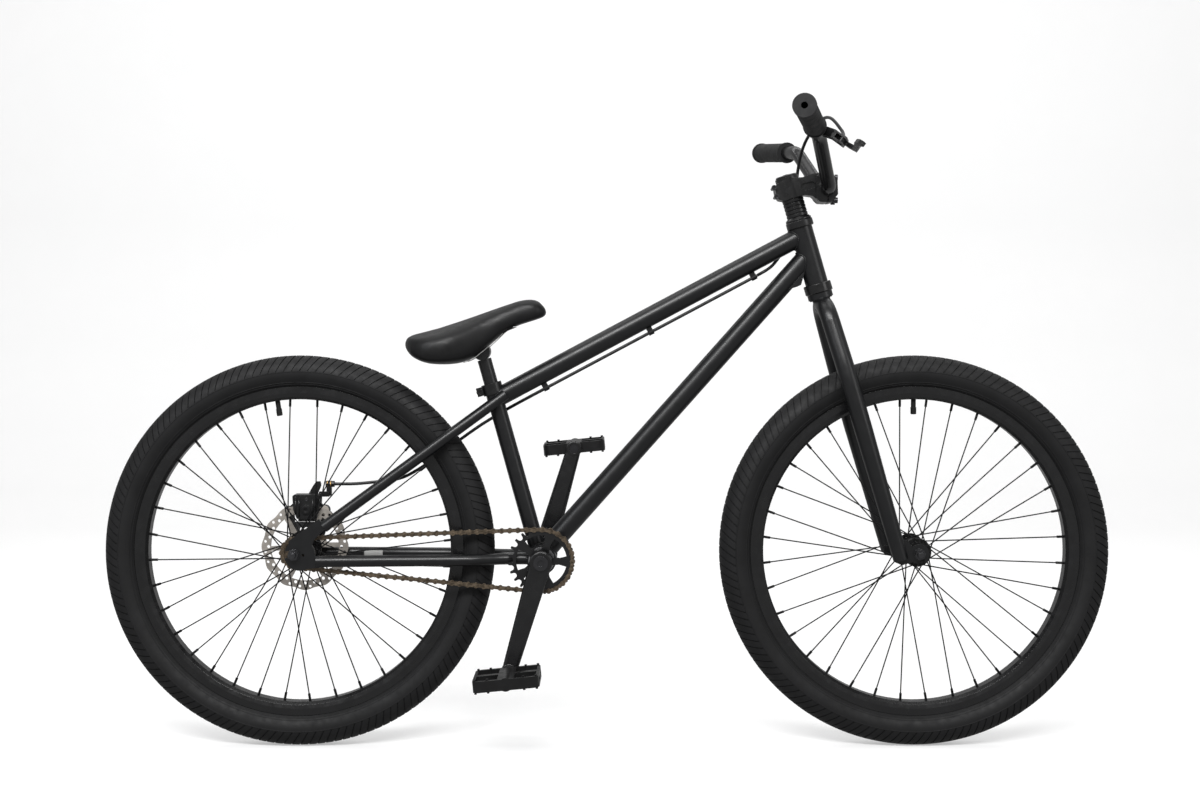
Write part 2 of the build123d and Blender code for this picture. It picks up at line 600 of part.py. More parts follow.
with BuildPart() as rear_rim:
    with BuildSketch(wheel_plane(RA)):
        Polygon(*RIM_SECTION, align=None)
        Polygon(*RIM_HOLLOW, align=None, mode=Mode.SUBTRACT)
    revolve(axis=Axis((RA[0], 0, RA[1]), (0, 1, 0)))
    add(hole_set(RA, rk_holes, 2.3), mode=Mode.SUBTRACT)
    cyl(polar(*RA, 230, REAR_VALVE), polar(*RA, 256, REAR_VALVE), 4.3, Mode.SUBTRACT)
rear_rim.part.label = "rear_rim"
export_step(rear_rim.part, "parts/rear_rim.step")

TYRE_C = TYRE_R - TYRE_HALF
with BuildPart() as front_tyre:
    with BuildSketch(wheel_plane(FA)):
        with Locations((TYRE_C, 0)):
            Circle(TYRE_HALF)
        for y in (-11.3, 11.3):
            with Locations((258.0, y)):
                Rectangle(8.6, 3.6)
        with Locations((TYRE_C, 0)):
            Circle(TYRE_HALF - TYRE_WALL, mode=Mode.SUBTRACT)
        with Locations((250.2, 0)):
            Rectangle(7.0, 40, mode=Mode.SUBTRACT)
        with Locations((255, 0)):
            Rectangle(16, 18.6, mode=Mode.SUBTRACT)
        for y in (-15.3, 15.3):
            with Locations((255, y)):
                Rectangle(9.6, 4.0, mode=Mode.SUBTRACT)
    revolve(axis=Axis((FA[0], 0, FA[1]), (0, 1, 0)))
front_tyre.part.label = "front_tyre"
export_step(front_tyre.part, "parts/front_tyre.step")

with BuildPart() as rear_tyre:
    add(front_tyre.part.moved(Location((RA[0] - FA[0], 0, 0))))
rear_tyre.part.label = "rear_tyre"
export_step(rear_tyre.part, "parts/rear_tyre.step")


def tube_and_valve(c, a):
    with BuildPart() as made:
        with BuildSketch(wheel_plane(c)):
            with Locations((TYRE_C + 0.6, 0)):
                Circle(22.6)
                Circle(21.4, mode=Mode.SUBTRACT)
        revolve(axis=Axis((c[0], 0, c[1]), (0, 1, 0)))
        cyl(polar(*c, 226, a), polar(*c, 259.8, a), 3.9)
    with BuildPart() as cap:
        cyl(polar(*c, 214.8, a), polar(*c, 225.9, a), 4.6)
        chamfer(cap.faces().sort_by(Axis((c[0], 0, c[1]), Vector(*polar(0, 0, 1, a))))[0].edges(), 1.0)
    return [made.part.solid(), cap.part.solid()]


front_inner_tube = Compound(label="front_inner_tube", children=tube_and_valve(FA, FRONT_VALVE))
export_step(front_inner_tube, "parts/front_inner_tube.step")
rear_inner_tube = Compound(label="rear_inner_tube", children=tube_and_valve(RA, REAR_VALVE))
export_step(rear_inner_tube, "parts/rear_inner_tube.step")


def flange_holes(c, yf, phase, side):
    out = []
    for j in range(18):
        a = polar(c[0], c[1], SPOKE_PCD_R, phase + 20 * j + (10 if side == 1 else 0))
        out.append(rod((a[0], yf - 2, a[2]), (a[0], yf + 2, a[2]), 1.3))
    return out


with BuildPart() as front_hub:
    cyl((FA[0], -42, FA[1]), (FA[0], 42, FA[1]), 16.5)
    cyl((FA[0], -28, FA[1]), (FA[0], 28, FA[1]), 14.6)
    for y in (-32, 32):
        cyl((FA[0], y - 1.5, FA[1]), (FA[0], y + 1.5, FA[1]), FLANGE_R)
    cyl((FA[0], -60, FA[1]), (FA[0], 60, FA[1]), 14.0, Mode.SUBTRACT)
    add(flange_holes(FA, -32, FRONT_PHASE, -1) + flange_holes(FA, 32, FRONT_PHASE, 1), mode=Mode.SUBTRACT)
    # cartridge bearings
with BuildPart() as front_hub_bearings:
    for y in (-41.5, 33.5):
        cyl((FA[0], y, FA[1]), (FA[0], y + 8, FA[1]), 13.98)
    cyl((FA[0], -60, FA[1]), (FA[0], 60, FA[1]), AXLE_R + 0.05, Mode.SUBTRACT)
front_hub_set = Compound(label="front_hub", children=front_hub.part.solids() + front_hub_bearings.part.solids())
export_step(front_hub_set, "parts/front_hub.step")

with BuildPart() as front_axle:
    cyl((FA[0], -66.15, FA[1]), (FA[0], 66.15, FA[1]), AXLE_R)
    cyl((FA[0], -AXLE_END, FA[1]), (FA[0], AXLE_END, FA[1]), AXLE_TIP_R)
    for s in (-1, 1):
        cyl((FA[0], 42.3 * s, FA[1]), (FA[0], 50 * s, FA[1]), 9.0)
    chamfer(front_axle.faces().sort_by(Axis.Y)[0].edges() + front_axle.faces().sort_by(Axis.Y)[-1].edges(), 0.8)
front_axle.part.label = "front_axle"
export_step(front_axle.part, "parts/front_axle.step")


def nuts(c, inner):
    """Both axle nuts with their washers; inner is the dropout's outer face."""
    with BuildPart() as made:
        for s in (-1, 1):
            cyl((c[0], s * (inner + 0.02), c[1]), (c[0], s * (inner + 1.8), c[1]), 9.0)
        with BuildSketch(Plane.XZ.offset(inner + 1.8)):
            with Locations(c):
                RegularPolygon(8.66, 6, rotation=12)
        extrude(amount=8.2)
        with BuildSketch(Plane.XZ.offset(-(inner + 10.0))):
            with Locations(c):
                RegularPolygon(8.66, 6, rotation=40)
        extrude(amount=8.2)
        cyl((c[0], -80, c[1]), (c[0], 80, c[1]), AXLE_R + 0.04, Mode.SUBTRACT)
    return made.part


front_axle_nuts = nuts(FA, 56.0)
front_axle_nuts.label = "front_axle_nuts"
export_step(front_axle_nuts, "parts/front_axle_nuts.step")

# rear hub: shell, disc face on the left, bearings
ROTOR_Y = 41.0
with BuildPart() as rear_hub:
    cyl((RA[0], -30, RA[1]), (RA[0], 40, RA[1]), 16.7)
    for y in (-26, 30):
        cyl((RA[0], y - 1.5, RA[1]), (RA[0], y + 1.5, RA[1]), FLANGE_R)
    cyl((RA[0], 36.2, RA[1]), (RA[0], 40, RA[1]), 27.0)
    cyl((RA[0], 40, RA[1]), (RA[0], 42.2, RA[1]), 15.9)
    cyl((RA[0], -60, RA[1]), (RA[0], 60, RA[1]), 14.0, Mode.SUBTRACT)
    add(flange_holes(RA, -26, REAR_PHASE, -1) + flange_holes(RA, 30, REAR_PHASE, 1), mode=Mode.SUBTRACT)
    with Locations(Location((RA[0], 41, RA[1]), (90, 0, 0))):
        with PolarLocations(22, 6):
            Cylinder(2.1, 16, mode=Mode.SUBTRACT)
with BuildPart() as rear_hub_bearings:
    for y in (-29.5, 33.5):
        cyl((RA[0], y, RA[1]), (RA[0], y + 8, RA[1]), 13.98)
    cyl((RA[0], -60, RA[1]), (RA[0], 60, RA[1]), AXLE_R + 0.05, Mode.SUBTRACT)
rear_hub_set = Compound(label="rear_hub", children=rear_hub.part.solids() + rear_hub_bearings.part.solids())
export_step(rear_hub_set, "parts/rear_hub.step")

with BuildPart() as rear_axle:
    cyl((RA[0], -71.15, RA[1]), (RA[0], 71.15, RA[1]), AXLE_R)
    cyl((RA[0], -REAR_AXLE_END, RA[1]), (RA[0], REAR_AXLE_END, RA[1]), AXLE_TIP_R)
    cyl((RA[0], -55, RA[1]), (RA[0], -30.6, RA[1]), 8.0)
    cyl((RA[0], 42.5, RA[1]), (RA[0], 55, RA[1]), 8.0)
    chamfer(rear_axle.faces().sort_by(Axis.Y)[0].edges() + rear_axle.faces().sort_by(Axis.Y)[-1].edges(), 0.8)
rear_axle.part.label = "rear_axle"
export_step(rear_axle.part, "parts/rear_axle.step")

rear_axle_nuts = nuts(RA, 61.0)
rear_axle_nuts.label = "rear_axle_nuts"
export_step(rear_axle_nuts, "parts/rear_axle_nuts.step")

# disc rotor: a wavy braking band with holes, six arms, six bolts
with BuildPart() as disc_rotor:
    with BuildSketch(Plane.XZ.offset(-(ROTOR_Y + 0.9))):
        with BuildLine():
            n = 120
            wave = [(68.6 + 1.4 * math.cos(12 * math.tau * k / n)) for k in range(n)]
            Polyline(*[(RA[0] + wave[k] * math.cos(math.tau * k / n), RA[1] + wave[k] * math.sin(math.tau * k / n))
                       for k in range(n)], close=True)
        make_face()
        with Locations(RA):
            Circle(54.5, mode=Mode.SUBTRACT)
            Circle(27.0)
            with PolarLocations(0, 6, start_angle=15):
                Polygon((20, -6), (44, -13), (56, -15), (56, -8), (40, -4), (26, 7), align=None)
            Circle(16.0, mode=Mode.SUBTRACT)
            with PolarLocations(22, 6):
                Circle(2.6, mode=Mode.SUBTRACT)
            with PolarLocations(58.6, 24):
                Circle(2.5, mode=Mode.SUBTRACT)
            with PolarLocations(64.2, 24, start_angle=7.5):
                Circle(2.2, mode=Mode.SUBTRACT)
    extrude(amount=1.8)
disc_rotor.part.label = "disc_rotor"
export_step(disc_rotor.part, "parts/disc_rotor.step")

with BuildPart() as rotor_bolts:
    with Locations(Location((RA[0], 0, RA[1]), (90, 0, 0))):
        with PolarLocations(22, 6):
            with Locations((0, 0, -39.5)):
                Cylinder(2.05, 8)
            with Locations((0, 0, -43.0)):
                Cylinder(4.0, 2.0)
            with Locations((0, 0, -43.8)):
                Cylinder(1.9, 1.6, mode=Mode.SUBTRACT)
rotor_bolts.part.label = "rotor_bolts"
export_step(rotor_bolts.part, "parts/rotor_bolts.step")

# ----------------------------------------------------------------------------
# chain, cog and chainring
# ----------------------------------------------------------------------------
R1, R2 = RING_TEETH * PITCH / math.tau, COG_TEETH * PITCH / math.tau
P1, P2 = PITCH / 2 / math.sin(math.pi / RING_TEETH), PITCH / 2 / math.sin(math.pi / COG_TEETH)
dx, dz = BB[0] - RA[0], BB[1] - RA[1]
CD = math.hypot(dx, dz)
LINE = math.atan2(dz, dx)                       # from the rear axle to the bracket
BETA = math.asin((R1 - R2) / CD)
STRAIGHT = CD * math.cos(BETA)
WRAP1, WRAP2 = R1 * (math.pi + 2 * BETA), R2 * (math.pi - 2 * BETA)
STEP = (2 * STRAIGHT + WRAP1 + WRAP2) / LINKS
SHIFT = 0.35


def chain_point(s):
    """A chain pin's centre, s along the loop from the top of the rear cog."""
    top = LINE + math.pi / 2 + BETA
    low = LINE - math.pi / 2 - BETA
    if s < STRAIGHT:
        f = s / STRAIGHT
        a = (RA[0] + P2 * math.cos(top), RA[1] + P2 * math.sin(top))
        b = (BB[0] + P1 * math.cos(top), BB[1] + P1 * math.sin(top))
        return (a[0] + (b[0] - a[0]) * f, a[1] + (b[1] - a[1]) * f)
    s -= STRAIGHT
    if s < WRAP1:
        a = top - s / R1
        return (BB[0] + P1 * math.cos(a), BB[1] + P1 * math.sin(a))
    s -= WRAP1
    if s < STRAIGHT:
        f = s / STRAIGHT
        a = (BB[0] + P1 * math.cos(low), BB[1] + P1 * math.sin(low))
        b = (RA[0] + P2 * math.cos(low), RA[1] + P2 * math.sin(low))
        return (a[0] + (b[0] - a[0]) * f, a[1] + (b[1] - a[1]) * f)
    s -= STRAIGHT
    a = low - s / R2
    return (RA[0] + P2 * math.cos(a), RA[1] + P2 * math.sin(a))


pins = [chain_point(((k + SHIFT) * STEP) % (STEP * LINKS)) for k in range(LINKS)]
# the teeth sit between the rollers: each wheel's phase comes from one roller on it
on_ring = next(p for p in pins if p[0] > BB[0] + 30)
on_cog = next(p for p in pins if p[0] < RA[0] - 12)
RING_PHASE = math.degrees(math.atan2(on_ring[1] - BB[1], on_ring[0] - BB[0]))
COG_PHASE = math.degrees(math.atan2(on_cog[1] - RA[1], on_cog[0] - RA[0]))


def waist(length, r, neck):
    with BuildSketch() as made:
        with Locations((-length / 2, 0), (length / 2, 0)):
            Circle(r)
        Rectangle(length, neck)
        with Locations((-length / 2, 0), (length / 2, 0)):
            Circle(1.9, mode=Mode.SUBTRACT)
    return made.sketch


link_face = waist(PITCH, 4.1, 5.2)
with BuildPart() as inner_link:
    with BuildSketch(Plane.XY.offset(1.7)):
        add(link_face)
    extrude(amount=1.1)
    with BuildSketch(Plane.XY.offset(-2.8)):
        add(link_face)
    extrude(amount=1.1)
    with Locations((-PITCH / 2, 0), (PITCH / 2, 0)):
        Cylinder(ROLLER_R, 3.5)
        Cylinder(1.95, 6, mode=Mode.SUBTRACT)
with BuildPart() as outer_link:
    with BuildSketch(Plane.XY.offset(2.9)):
        add(link_face)
    extrude(amount=1.1)
    with BuildSketch(Plane.XY.offset(-4.0)):
        add(link_face)
    extrude(amount=1.1)
    with Locations((-PITCH / 2, 0), (PITCH / 2, 0)):
        Cylinder(1.75, 9.4)
        with Locations((0, 0, 3.45), (0, 0, -3.45)):
            Cylinder(2.0, 1.1)

links = []
for k in range(LINKS):
    a, b = pins[k], pins[(k + 1) % LINKS]
    mid_pin = ((a[0] + b[0]) / 2, CHAIN_Y, (a[1] + b[1]) / 2)
    frame_k = Plane(origin=mid_pin, x_dir=(b[0] - a[0], 0, b[1] - a[1]), z_dir=(0, 1, 0))
    body = (inner_link if k % 2 else outer_link).part.solid()
    links.append(body.moved(frame_k.location))
chain = Compound(label="chain", children=links)
export_step(chain, "parts/chain.step")

with BuildPart() as sprocket:
    with BuildSketch(Plane.XZ.offset(-CHAIN_Y - 1.5)):
        with Locations(Location((BB[0], BB[1]), RING_PHASE)):
            Circle(52.2)
            with PolarLocations(P1, RING_TEETH):
                Circle(4.15, mode=Mode.SUBTRACT)
                Polygon((0, -4.15), (6, -6.2), (6, 6.2), (0, 4.15), align=None, mode=Mode.SUBTRACT)
        with Locations(BB):
            Circle(39.5, mode=Mode.SUBTRACT)
            Circle(17.5)
            with PolarLocations(0, 5, start_angle=-2):
                Polygon((12, -7), (28, -5.2), (42, -9), (42, 9), (28, 5.2), (12, 7), align=None)
            Circle(9.6, mode=Mode.SUBTRACT)
    extrude(amount=3.0)
    cyl((BB[0], CHAIN_Y + 1.5, BB[1]), (BB[0], -34.3, BB[1]), 14.5)
    cyl((BB[0], -50, BB[1]), (BB[0], -30, BB[1]), 9.6, Mode.SUBTRACT)
sprocket.part.label = "sprocket"
export_step(sprocket.part, "parts/sprocket.step")

with BuildPart() as rear_cog:
    with BuildSketch(Plane.XZ.offset(-CHAIN_Y - 1.4)):
        with Locations(Location((RA[0], RA[1]), COG_PHASE)):
            Circle(25.8)
            with PolarLocations(P2, COG_TEETH):
                Circle(4.42, mode=Mode.SUBTRACT)
                Polygon((0, -4.42), (6, -7.65), (6, 7.65), (0, 4.42), align=None, mode=Mode.SUBTRACT)
    extrude(amount=2.8)
    cyl((RA[0], -45, RA[1]), (RA[0], -30.4, RA[1]), 15.0)
    cyl((RA[0], -50, RA[1]), (RA[0], -30, RA[1]), 8.06, Mode.SUBTRACT)
rear_cog.part.label = "rear_cog"
export_step(rear_cog.part, "parts/rear_cog.step")

# ----------------------------------------------------------------------------
# cranks and pedals
# ----------------------------------------------------------------------------
ca = math.radians(CRANK_ANGLE)
PEDAL_R = (BB[0] - CRANK * math.sin(ca), BB[1] - CRANK * math.cos(ca))
PEDAL_L = (BB[0] + CRANK * math.sin(ca), BB[1] + CRANK * math.cos(ca))

with BuildPart() as crank_spindle:
    cyl((BB[0], -69.5, BB[1]), (BB[0], 69.5, BB[1]), 9.5)
    cyl((BB[0], -72.5, BB[1]), (BB[0], 72.5, BB[1]), 5.0, Mode.SUBTRACT)
with BuildPart() as crank_bolts:
    for s in (-1, 1):
        cyl((BB[0], 50 * s, BB[1]), (BB[0], 72 * s, BB[1]), 4.95)
        cyl((BB[0], 70.5 * s, BB[1]), (BB[0], 74.5 * s, BB[1]), 11.5)
        cyl((BB[0], 72.0 * s, BB[1]), (BB[0], 76 * s, BB[1]), 5.0, Mode.SUBTRACT)
crank_spindle_set = Compound(label="crank_spindle", children=crank_spindle.part.solids() + crank_bolts.part.solids())
export_step(crank_spindle_set, "parts/crank_spindle.step")

# forged arms with rounded long edges, narrowing towards the pedal
def round_boss(c, s, r):
    with BuildPart() as made:
        cyl((c[0], s * 57.5, c[1]), (c[0], s * 70.5, c[1]), r)
        fillet(made.edges().filter_by(GeomType.CIRCLE), 2.6)
    return made.part


arms = []
for s, tip in ((-1, PEDAL_R), (1, PEDAL_L)):
    with BuildPart() as arm:
        with BuildSketch(Plane.XZ.offset(57.9 if s < 0 else -70.1)):
            u = ((tip[0] - BB[0]) / CRANK, (tip[1] - BB[1]) / CRANK)
            w = (-u[1], u[0])
            p = [(BB[0] + u[0] * d + w[0] * h, BB[1] + u[1] * d + w[1] * h)
                 for d, h in ((4, 17.4), (170, 12.0), (170, -12.0), (4, -17.4))]
            Polygon(*p, align=None)
        extrude(amount=12.2)
        fillet(arm.edges().filter_by(lambda e: e.length > 100), 5.4)
    arms.append(arm.part)
with BuildPart() as crank_arms:
    add(arms)
    for s, tip in ((-1, PEDAL_R), (1, PEDAL_L)):
        add([round_boss(BB, s, 17.9), round_boss(tip, s, 12.9)])
        cyl((BB[0], s * 41.7, BB[1]), (BB[0], s * 58, BB[1]), 14.5)
    cyl((BB[0], 34.4, BB[1]), (BB[0], 41.7, BB[1]), 14.5)
    cyl((BB[0], -80, BB[1]), (BB[0], 80, BB[1]), 9.55, Mode.SUBTRACT)
    for s, tip in ((-1, PEDAL_R), (1, PEDAL_L)):
        cyl((tip[0], s * 50, tip[1]), (tip[0], s * 75, tip[1]), 7.2, Mode.SUBTRACT)
crank_arms.part.label = "crank_arms"
export_step(crank_arms.part, "parts/crank_arms.step")

with BuildPart() as pedal_axles:
    for s, tip in ((-1, PEDAL_R), (1, PEDAL_L)):
        cyl((tip[0], s * 58, tip[1]), (tip[0], s * 71, tip[1]), 7.15)
        cyl((tip[0], s * 70.5, tip[1]), (tip[0], s * 73.3, tip[1]), 9.0)
        cyl((tip[0], s * 73, tip[1]), (tip[0], s * 160, tip[1]), 5.0)
pedal_axles.part.label = "pedal_axles"
export_step(pedal_axles.part, "parts/pedal_axles.step")

PEDAL_TILT = 5.5


def pedal(tip, s):
    """A platform pedal: a frame about a round barrel, cross ribs and pins."""
    y0 = 74.5 if s > 0 else -168.5
    y1 = y0 + 94.0
    ym = (y0 + y1) / 2
    t = Location((tip[0], ym, tip[1]), (0, -PEDAL_TILT, 0))
    with BuildPart() as made:
        with Locations(t):
            Box(100, 94, 17)
            fillet(made.edges().filter_by(lambda e: abs(e.length - 17) < 0.01), 10)
            # four windows down through the platform
            with Locations((-29, 23.5, 0), (29, 23.5, 0), (-29, -23.5, 0), (29, -23.5, 0)):
                Box(33, 36, 30, mode=Mode.SUBTRACT)
            # slanted windows across, which leave a brace in each rail
            for e in (-1, 1):
                for corners in ([(14, -5.6), (42.5, -5.6), (42.5, 1.2)], [(14, 5.6), (14, -1.2), (42.5, 5.6)]):
                    with BuildSketch(Plane(origin=(0, 60, 0), x_dir=(1, 0, 0), z_dir=(0, -1, 0)).rotated((0, 0, 0))):
                        Polygon(*[(e * x, e * z) for x, z in corners], align=None)
                    extrude(amount=120, mode=Mode.SUBTRACT)
            # round notches in the two end rails
            for x in (-47.5, 47.5):
                with Locations((x, 22, 0), (x, -22, 0)):
                    Box(12, 26, 7, mode=Mode.SUBTRACT)
            for x in (-46, -27, 27, 46):
                for y in (-43, 43):
                    with Locations((x, y, 0)):
                        Cylinder(1.9, 21.5)
        cyl((tip[0], y0, tip[1]), (tip[0], y1, tip[1]), 10.2)
        cyl((tip[0], y0 - 5 if s > 0 else y0 + 7, tip[1]), (tip[0], y1 - 7 if s > 0 else y1 + 5, tip[1]), 5.06, Mode.SUBTRACT)
    return made.part


right_pedal = pedal(PEDAL_R, -1)
right_pedal.label = "right_pedal"
export_step(right_pedal, "parts/right_pedal.step")
left_pedal = pedal(PEDAL_L, 1)
left_pedal.label = "left_pedal"
export_step(left_pedal, "parts/left_pedal.step")

# ----------------------------------------------------------------------------
# rear disc brake, on the left
# ----------------------------------------------------------------------------
EAR_A, EAR_B = (-513.6, 363.7), (-455.0, 366.0)
with BuildPart() as brake_bracket:
    with BuildSketch(Plane.XZ.offset(-54.9)):
        with BuildLine():
            Polyline((-513.6, 372), (-523, 364), (-512, 345), (-497, 322), (-466, 322), (-457, 340), (-447, 362),
                     (-450, 373), (-460, 373), (-462, 362), (-462, 346.5), (-503.5, 346.5), (-505, 366), (-513.6, 372))
        make_face()
        with Locations(EAR_A, EAR_B):
            Circle(8.5)
        with Locations(EAR_A, EAR_B):
            Circle(3.1, mode=Mode.SUBTRACT)
        with Locations((-485, 334)):
            SlotOverall(22, 8, mode=Mode.SUBTRACT)
        with Locations((-482.0, 372)):
            Rectangle(43.4, 51, mode=Mode.SUBTRACT)
    extrude(amount=5.4)
    add(seatstays.part, mode=Mode.SUBTRACT)
brake_bracket.part.label = "brake_bracket"
export_step(brake_bracket.part, "parts/brake_bracket.step")

CAL_X, CAL_Z = -482.5, 373.5
with BuildPart() as brake_calliper:
    with BuildSketch(Plane.XZ.offset(-58)):
        Polygon((-504.5, 392), (-460.5, 392), (-461, 368), (-468, 353), (-497, 353), (-503, 368), align=None)
    extrude(amount=27)
    fillet(brake_calliper.edges().filter_by(Axis.Y), 3.5)
    # rotor slot, and the pad pocket
    with Locations((CAL_X, 41, 364)):
        Box(60, 3.8, 36, mode=Mode.SUBTRACT)
    with Locations((CAL_X, 41.0, 362)):
        Box(28, 13, 28, mode=Mode.SUBTRACT)
    # mounting ears to the bracket's two bolts
    for x, z, x1 in ((*EAR_A, -498), (*EAR_B, -466)):
        with BuildSketch(Plane.XZ.offset(-49.3)):
            with Locations((x, z)):
                Circle(8)
        extrude(amount=5.0)
        with BuildSketch(Plane.XZ.offset(-49.3)):
            Polygon((x, z - 5), (x, z + 6), (x1, 384), (x1, 362), align=None)
        extrude(amount=5.0)
        cyl((x, 42, z), (x, 65, z), 3.1, Mode.SUBTRACT)
    # boss for the arm, and the housing stop
    cyl((CAL_X, 57, CAL_Z + 3), (CAL_X, 60.5, CAL_Z + 3), 12.5)
    with Locations((-449.5, 59.5, 399.5)):
        Box(8, 8, 23)
    with Locations((-457, 56, 391)):
        Box(16, 8, 8)
    cyl((-455, 59.5, 407), (-441, 59.5, 407), 5.0)
    cyl((-460, 59.5, 407), (-430, 59.5, 407), 1.6, Mode.SUBTRACT)
    cyl((-449.5, 59.5, 407), (-438, 59.5, 407), 2.55, Mode.SUBTRACT)
    cyl((CAL_X, 45, CAL_Z + 3), (CAL_X, 66, CAL_Z + 3), 4.3, Mode.SUBTRACT)
    # adjuster knob on the inner face
    cyl((CAL_X, 31.2, CAL_Z - 6), (CAL_X, 30.4, CAL_Z - 6), 8.5)
with BuildPart() as fixed_pad:
    with Locations((CAL_X, 37.2, 362)):
        Box(26, 4.6, 26)
brake_calliper_set = Compound(label="brake_calliper", children=brake_calliper.part.solids() + fixed_pad.part.solids())
export_step(brake_calliper_set, "parts/brake_calliper.step")

with BuildPart() as moving_brake_pad:
    with Locations((CAL_X, 44.6, 362)):
        Box(26, 4.2, 26)
moving_brake_pad.part.label = "moving_brake_pad"
export_step(moving_brake_pad.part, "parts/moving_brake_pad.step")

with BuildPart() as calliper_bolts:
    for x, z in (EAR_A, EAR_B):
        cyl((x, 44.5, z), (x, 57, z), 3.0)
        cyl((x, 54.95, z), (x, 56.2, z), 6.4)
        cyl((x, 56.1, z), (x, 60.6, z), 5.0)
        cyl((x, 58.2, z), (x, 61, z), 2.4, Mode.SUBTRACT)
calliper_bolts.part.label = "calliper_bolts"
export_step(calliper_bolts.part, "parts/calliper_bolts.step")

ARM_Z = CAL_Z + 3
with BuildPart() as calliper_arm:
    cyl((CAL_X, 47.6, ARM_Z), (CAL_X, 61, ARM_Z), 4.2)
    cyl((CAL_X, 60.8, ARM_Z), (CAL_X, 67, ARM_Z), 9.0)
    with BuildSketch(Plane.XZ.offset(-65)):
        with BuildLine():
            Polyline((CAL_X - 8, ARM_Z + 2), (-476, 404), (-471, 411), (-464.5, 411), (-463, 404), (CAL_X + 8, ARM_Z), close=True)
        make_face()
    extrude(amount=4)
    cyl((-467.7, 60.9, 406.6), (-467.7, 67.2, 406.6), 4.2)
calliper_arm.part.label = "calliper_arm"
export_step(calliper_arm.part, "parts/calliper_arm.step")

# ----------------------------------------------------------------------------
# brake cable housing, in two lengths that meet at the first clip
# ----------------------------------------------------------------------------
def tangent_radii(points, limit=400.0):
    """Each corner's arc: 0.45 of its shorter run over the tangent of half the turn."""
    out = []
    v = [Vector(*p) for p in points]
    for a, b, c in zip(v, v[1:], v[2:]):
        turn = (b - a).get_angle(c - b)
        run = min((b - a).length, (c - b).length)
        out.append(min(limit, 0.45 * run / math.tan(math.radians(turn / 2))))
    return out


HOUSING_R = 2.5
rear_route = [(238.0, 0, 742.6), (190.0, 0, 717.0), (60.0, 0.3, 647.8), (-100.0, 0, 562.5), (-132.0, 6, 545.4),
              (-165.0, 21.5, 527.0), (-205.0, 33.5, 502.5), (-250.0, 42.5, 470.0), (-296.0, 48.5, 436.0), (-332.0, 60.5, 415.5),
              (-368.0, 65.5, 410.5), (-406.0, 59.5, 407.0), (-449.0, 59.5, 407.0)]
rear_radii = tangent_radii(rear_route)
lever_out = barrel + BARREL_D * 15.2
front_route = [tuple(lever_out), tuple(lever_out + BARREL_D * 30), (342, -120, 978), (335, -84, 984),
               (323, -40, 974), (311, 2, 948), (305, 24, 915), (303, 31, 878), (300, 33, 842), (290, 30, 806), (277, 20, 775),
               (260, 5.5, 755.2), (238.8, 0.1, 743.15)]
front_radii = tangent_radii(front_route)
for label, route, radii in (("rear", rear_route, rear_radii), ("front", front_route, front_radii)):
    print(label, "housing radii", [round(r) for r in radii])


def housing(route, radii, r=HOUSING_R):
    with BuildPart() as made:
        with BuildLine() as path:
            FilletPolyline(*route, radius=radii)
        with BuildSketch(Plane(origin=route[0], z_dir=Vector(*route[1]) - Vector(*route[0]))) as ring:
            Circle(r)
        sweep(sections=ring.sketch, path=path.line)
    length = path.line.length if hasattr(path.line, "length") else sum(e.length for e in path.edges())
    print("housing length", round(length, 1), "volume ratio", round(made.part.volume / (math.pi * HOUSING_R ** 2 * length), 4))
    return made.part


brake_housing = housing(rear_route, rear_radii)
brake_housing.label = "brake_housing"
export_step(brake_housing, "parts/brake_housing.step")
front_brake_housing = housing(front_route, front_radii)
front_brake_housing.label = "front_brake_housing"
export_step(front_brake_housing, "parts/front_brake_housing.step")

# clips: a band under the tube, round the housing
fat_rear = housing(rear_route, rear_radii, HOUSING_R + 0.3)
fat_front = housing(front_route, front_radii, HOUSING_R + 0.3)
with BuildPart() as cable_clips:
    for x in (222.0, 59.0, -107.0):
        z = 728.3 + 0.5327 * (x - 163.2)
        d = Vector(1, 0, 0.5327).normalized()
        n = Vector(0.470, 0, -0.8826)
        base = Vector(x, 0, z)
        with Locations(Plane(origin=base + n * 19.0, x_dir=d, z_dir=n).location):
            Box(9, 8, 9)
        with Locations(Plane(origin=base + n * 22.6, x_dir=(0, 1, 0), z_dir=d).location):
            Cylinder(4.4, 9)
    add(top_core, mode=Mode.SUBTRACT)
    add([fat_rear, fat_front], mode=Mode.SUBTRACT)
cable_clips.part.label = "cable_clips"
export_step(cable_clips.part, "parts/cable_clips.step")
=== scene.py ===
"""Looks of a 24 inch BMX cruiser: finishes, treaded tyres, padded seat, welds, routed brake housing, light and camera.
"""

import json
import math
import random

import bmesh
import bpy
import numpy as np
from mathutils import Matrix, Vector


